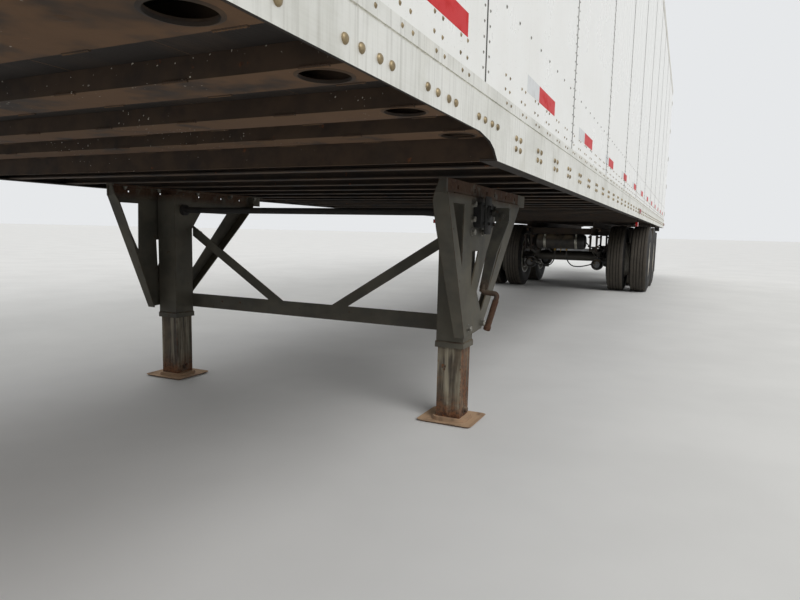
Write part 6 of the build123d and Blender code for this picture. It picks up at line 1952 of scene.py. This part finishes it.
@dataclass
class RearEnd(Assembly):
    """Hinge pins, lamp rims, tape, number plate, guard and bumpers on the rear frame."""

    frame_face: float = 8.0070
    weld_y: float = 8.0078
    front_lamp_face: float = -8.0520
    pin_x: float = 1.2835
    lamp_xs: Row = (0.560, 0.690, 0.820)
    lamp_z: float = 1.1556
    header_xs: Row = (-1.080, -0.152, 0.0, 0.152, 1.080)
    header_z: float = 4.0423
    front_lamp_z: float = 4.0517
    guard_x: float = 1.130
    guard_face: float = 7.950
    guard_top: float = 0.5555
    sill_low: float = 1.0995
    strut_x: float = 0.560
    bumper_x: float = 1.150
    bumper_low: float = 1.0006
    bumper_tail: float = 8.0768
    pads: int = 13

    def hinge_pins(self) -> None:
        """Hinge pins through barrels and ears, headed at both ends, and the ears' weld beads."""
        pin = turned([(-0.0445, 0.0060), (-0.0435, 0.0088), (-0.0410, 0.0088), (-0.0405, 0.0055),
                      (0.0405, 0.0055), (0.0410, 0.0088), (0.0435, 0.0088), (0.0445, 0.0060)], 14)
        pins = pin.set_at(lattice([self.pin_x], [RearDoor.pin_y], RearDoor.hinge_zs), UP)
        ears = [
            weld_pair((1.243, self.weld_y, level), (1.269, self.weld_y, level), 0.0030)
            for level in pairs(RearDoor.hinge_zs, 0.0410)]
        feet = [
            weld_pair((x, self.weld_y, level - 0.033), (x, self.weld_y, level + 0.033), 0.0032)
            for level in (1.1536, 4.0487) for x in pairs([RearDoor.rod_x], 0.0395)]
        self._make("hinge_pins", ZINC_PLATE, "zinc_steel", pins.both(), *ears, *feet)

    def lamp_rims(self) -> None:
        """Rubber rings round the sill's lamps, and steel bezels round the header's."""
        ring = hoop([(0.0002, 0.0515), (0.0002, 0.0630), (0.0030, 0.0620), (0.0055, 0.0575),
                     (0.0050, 0.0530), (0.0015, 0.0505)], 36)
        rings = ring.set_at(lattice(self.lamp_xs, [self.frame_face], [self.lamp_z]), BACK)
        self._make("lamp_grommets", SEAL, "flap_rubber", rings, both=True)
        lip = [(-0.006, 0.0002), (-0.006, 0.006), (-0.0035, 0.0095), (-0.0003, 0.0095),
               (-0.0003, 0.0002)]
        rows = ((self.header_xs, self.frame_face, self.header_z, BACK),
                ((-1.080, 1.080), self.front_lamp_face, self.front_lamp_z, AHEAD))
        parts = []
        for xs, face, level, out in rows:
            parts.append(rim(0.0626, 0.0246, lip).set_at(lattice(xs, [face], [level]), out))
            ears = lattice(pairs(xs, 0.0342), [face + out[1] * 0.0095], [level])
            parts.append(dome(0.0035, 0.0016, 10, 2).set_at(ears, out))
        self._make("lamp_bezels", ZINC_PLATE, "zinc_steel", *parts)

    def frame_tape(self) -> None:
        """White tape in an angle at both upper corners, red and white tape along the guard."""
        runs = []
        near, far = self.frame_face - 0.0001, self.frame_face + 0.0004
        for side in SIDES.values():
            runs.append(((side * 0.868, near, 4.004), (side * 1.036, far, 4.028), 1.0))
            runs.append(((side * 1.206, near, 3.700), (side * 1.232, far, 3.975), 1.0))
        near, far = self.guard_face - 0.0001, self.guard_face + 0.0004
        edges = np.linspace(-self.guard_x + 0.02, self.guard_x - 0.02, 11)
        for number, (low, high) in enumerate(zip(edges, edges[1:])):
            runs.append(((low, near, 0.480), (high, far, 0.531), float(number % 2)))
        self._tape("frame_tape", "painted_frame", runs)

    def number_plate(self) -> None:
        """Blank plate with a pressed border on a bent holder at the sill, a lamp above it."""
        place = (0.0, self.frame_face + 0.0034, 1.092)
        border = [(0.0, 0.0), (0.0, 0.0016), (0.0040, 0.0022), (0.0065, 0.0016), (0.0065, 0.0)]
        plate = prism(oblong(0.305, 0.152, 0.012), [(0, 1), (0.0012, 1)])
        self._make(
            "number_plate", DOOR_PANEL, "white_panel", plate.set_at(place, BACK),
            rim(0.303, 0.151, border).set_at(place, BACK))
        lamp = turned([(0, 0.026), (0.012, 0.026), (0.020, 0.018), (0.022, 0.012)], 20)
        screws = lattice([-0.089, 0.089], [8.0130], [1.030, 1.154])
        self._make(
            "plate_holder", ZINC_PLATE, "zinc_steel",
            block((-0.158, 8.0072, 1.012), (0.158, 8.0102, 1.172)),
            block((-0.158, 8.0072, 1.006), (0.158, 8.0170, 1.0115)),
            lamp.set_at((0.0, 8.0102, 1.1895), BACK), dome(0.0060, 0.0035, 12, 3).set_at(screws, BACK))

    def guard_trim(self) -> None:
        """Weld beads, gussets and flange bolts where the guard's struts meet bar and sill."""
        low, high = pairs([self.strut_x], 0.040)
        plate = prism(oblong(0.099, 0.099, 0.010), [(-0.0040, 1), (-0.0008, 1), (-0.0002, 0.97)])
        parts = [plate.set_at((self.guard_x, 7.900, 0.505), OUT).both()]
        for y in (7.850, 7.950):
            for z in (self.guard_top, self.sill_low):
                parts.append(weld_pair((low, y, z), (high, y, z), 0.0050))
        for x, out in ((low, -1.0), (high, 1.0)):
            parts.append(weld_pair((x, 7.852, self.guard_top), (x, 7.948, self.guard_top), 0.0050))
            gusset = [[(x, y, 0.555), (x + out * 0.110, y, 0.555), (x, y, 0.665)] for y in (7.896, 7.904)]
            parts.append(skin(np.array(gusset)).both())
        self._make("guard_welds", FRAME_PAINT, "painted_frame", *parts)
        places = lattice(pairs([self.strut_x], 0.024), [7.9502], [1.060, 1.082])
        bolts = hex_head(0.019, 0.010, washer=0.014).set_at(places, BACK)
        self._make("guard_bolts", RUSTY_STEEL, "rusty_steel", bolts, both=True)

    def bumpers(self) -> None:
        """Dock bumpers: rubber pads in a stack between two steel angles."""
        levels = np.linspace(self.bumper_low + 0.008, self.bumper_low + 0.192, self.pads + 1)
        depths = self.bumper_tail - 0.0014 * np.abs(np.sin(1.7 * np.arange(self.pads)))
        low, high = pairs([self.bumper_x], 0.052)
        pads = [
            block((low, 8.0080, foot + 0.0006), (high, depth, head), 0.0022)
            for foot, head, depth in zip(levels, levels[1:], depths)]
        self._make("bumper_pads", FLAP, "flap_rubber", *pads, both=True, replaces="dock_bumpers")
        low, high = pairs([self.bumper_x], 0.0548)
        angles = [
            block((low, 8.0074, self.bumper_low + foot), (high, 8.0700, self.bumper_low + head))
            for foot, head in ((0.0003, 0.0080), (0.1922, 0.1997))]
        self._make("bumper_angles", ZINC_PLATE, "zinc_steel", *angles, both=True)


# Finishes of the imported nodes, and the order of building

FINISHED_NODES: tuple[tuple[Finish, str], ...] = (
    (RAIL_METAL, "side_rails top_rails"), (CROSS_METAL, "front_rails"), (POST_METAL, "corner_posts"),
    (ZINC_SHEET, "front_posts wall_posts scuff_bands roof_bows"), (ROOF_METAL, "roof_sheet"),
    (WHITE_PANEL, "side_wall_left side_wall_right"), (DOOR_PANEL, "front_wall door_left door_right"),
    (HARDWOOD, "floor_boards"), (UNDERCOAT, "upper_coupler"), (KINGPIN_STEEL, "kingpin"),
    (BEAM_COAT, "cross_members body_rails slider_frame spring_hangers lamp_plates"),
    (SPRING_COAT, "leaf_springs"), (FRAME_PAINT, "rear_frame underride_guard"), (LENS, "lamps"),
    (ZINC_PLATE, "rear_fittings door_hardware_left door_hardware_right"),
    (CAST_PAINT, "service_panel"), (GEAR_PAINT_SHADED, "leg_boxes wing_brackets leg_brace"),
    (LEG_TUBE_PAINT, "leg_tubes"), (SHOE_STEEL_SUNLIT, "sand_shoes"), (GEARBOX_PAINT, "leg_drive"),
    (CRANK_STEEL, "crank_handle"), (TANK_PAINT, "air_tank brake_chambers"), (HOSE, "air_hoses"),
    (AXLE_PAINT, "axle_front axle_rear torque_rods"), (FLAP, "mud_flaps dock_bumpers"),
    (TYRE, "tyres_front_left tyres_front_right tyres_rear_left tyres_rear_right"),
    (WHEEL_PAINT, "wheels_front_left wheels_front_right wheels_rear_left wheels_rear_right"),
)


def dress_nodes() -> None:
    """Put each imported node's finish into its material slots."""
    finishes = {name: finish for finish, names in FINISHED_NODES for name in names.split()}
    for name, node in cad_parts.items():
        node.data.materials.clear()
        node.data.materials.append(finishes[name].material())
    log.info("dressed %d nodes", len(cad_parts))


def main() -> None:
    """Build the studio, dress the nodes, add each assembly in order and note the sizes."""
    logging.basicConfig(level=logging.INFO, format="%(name)s: %(message)s")
    bpy.context.scene.view_settings.view_transform = "Standard"
    Studio().build()
    dress_nodes()
    wheels = [WheelPair(axle, hand) for axle in AXLES for hand in SIDES]
    doors = [RearDoor(hand) for hand in SIDES]
    for assembly in (
        WallDress(), RoofSkin(), FrontEnd(), NoseStructure(), LandingGear(), SideLamps(), *wheels,
        Suspension(), Brakes(), TandemTrim(), *doors, RearEnd(), LoadSpace(),
    ):
        assembly.build()


if __name__ == "__main__":
    main()
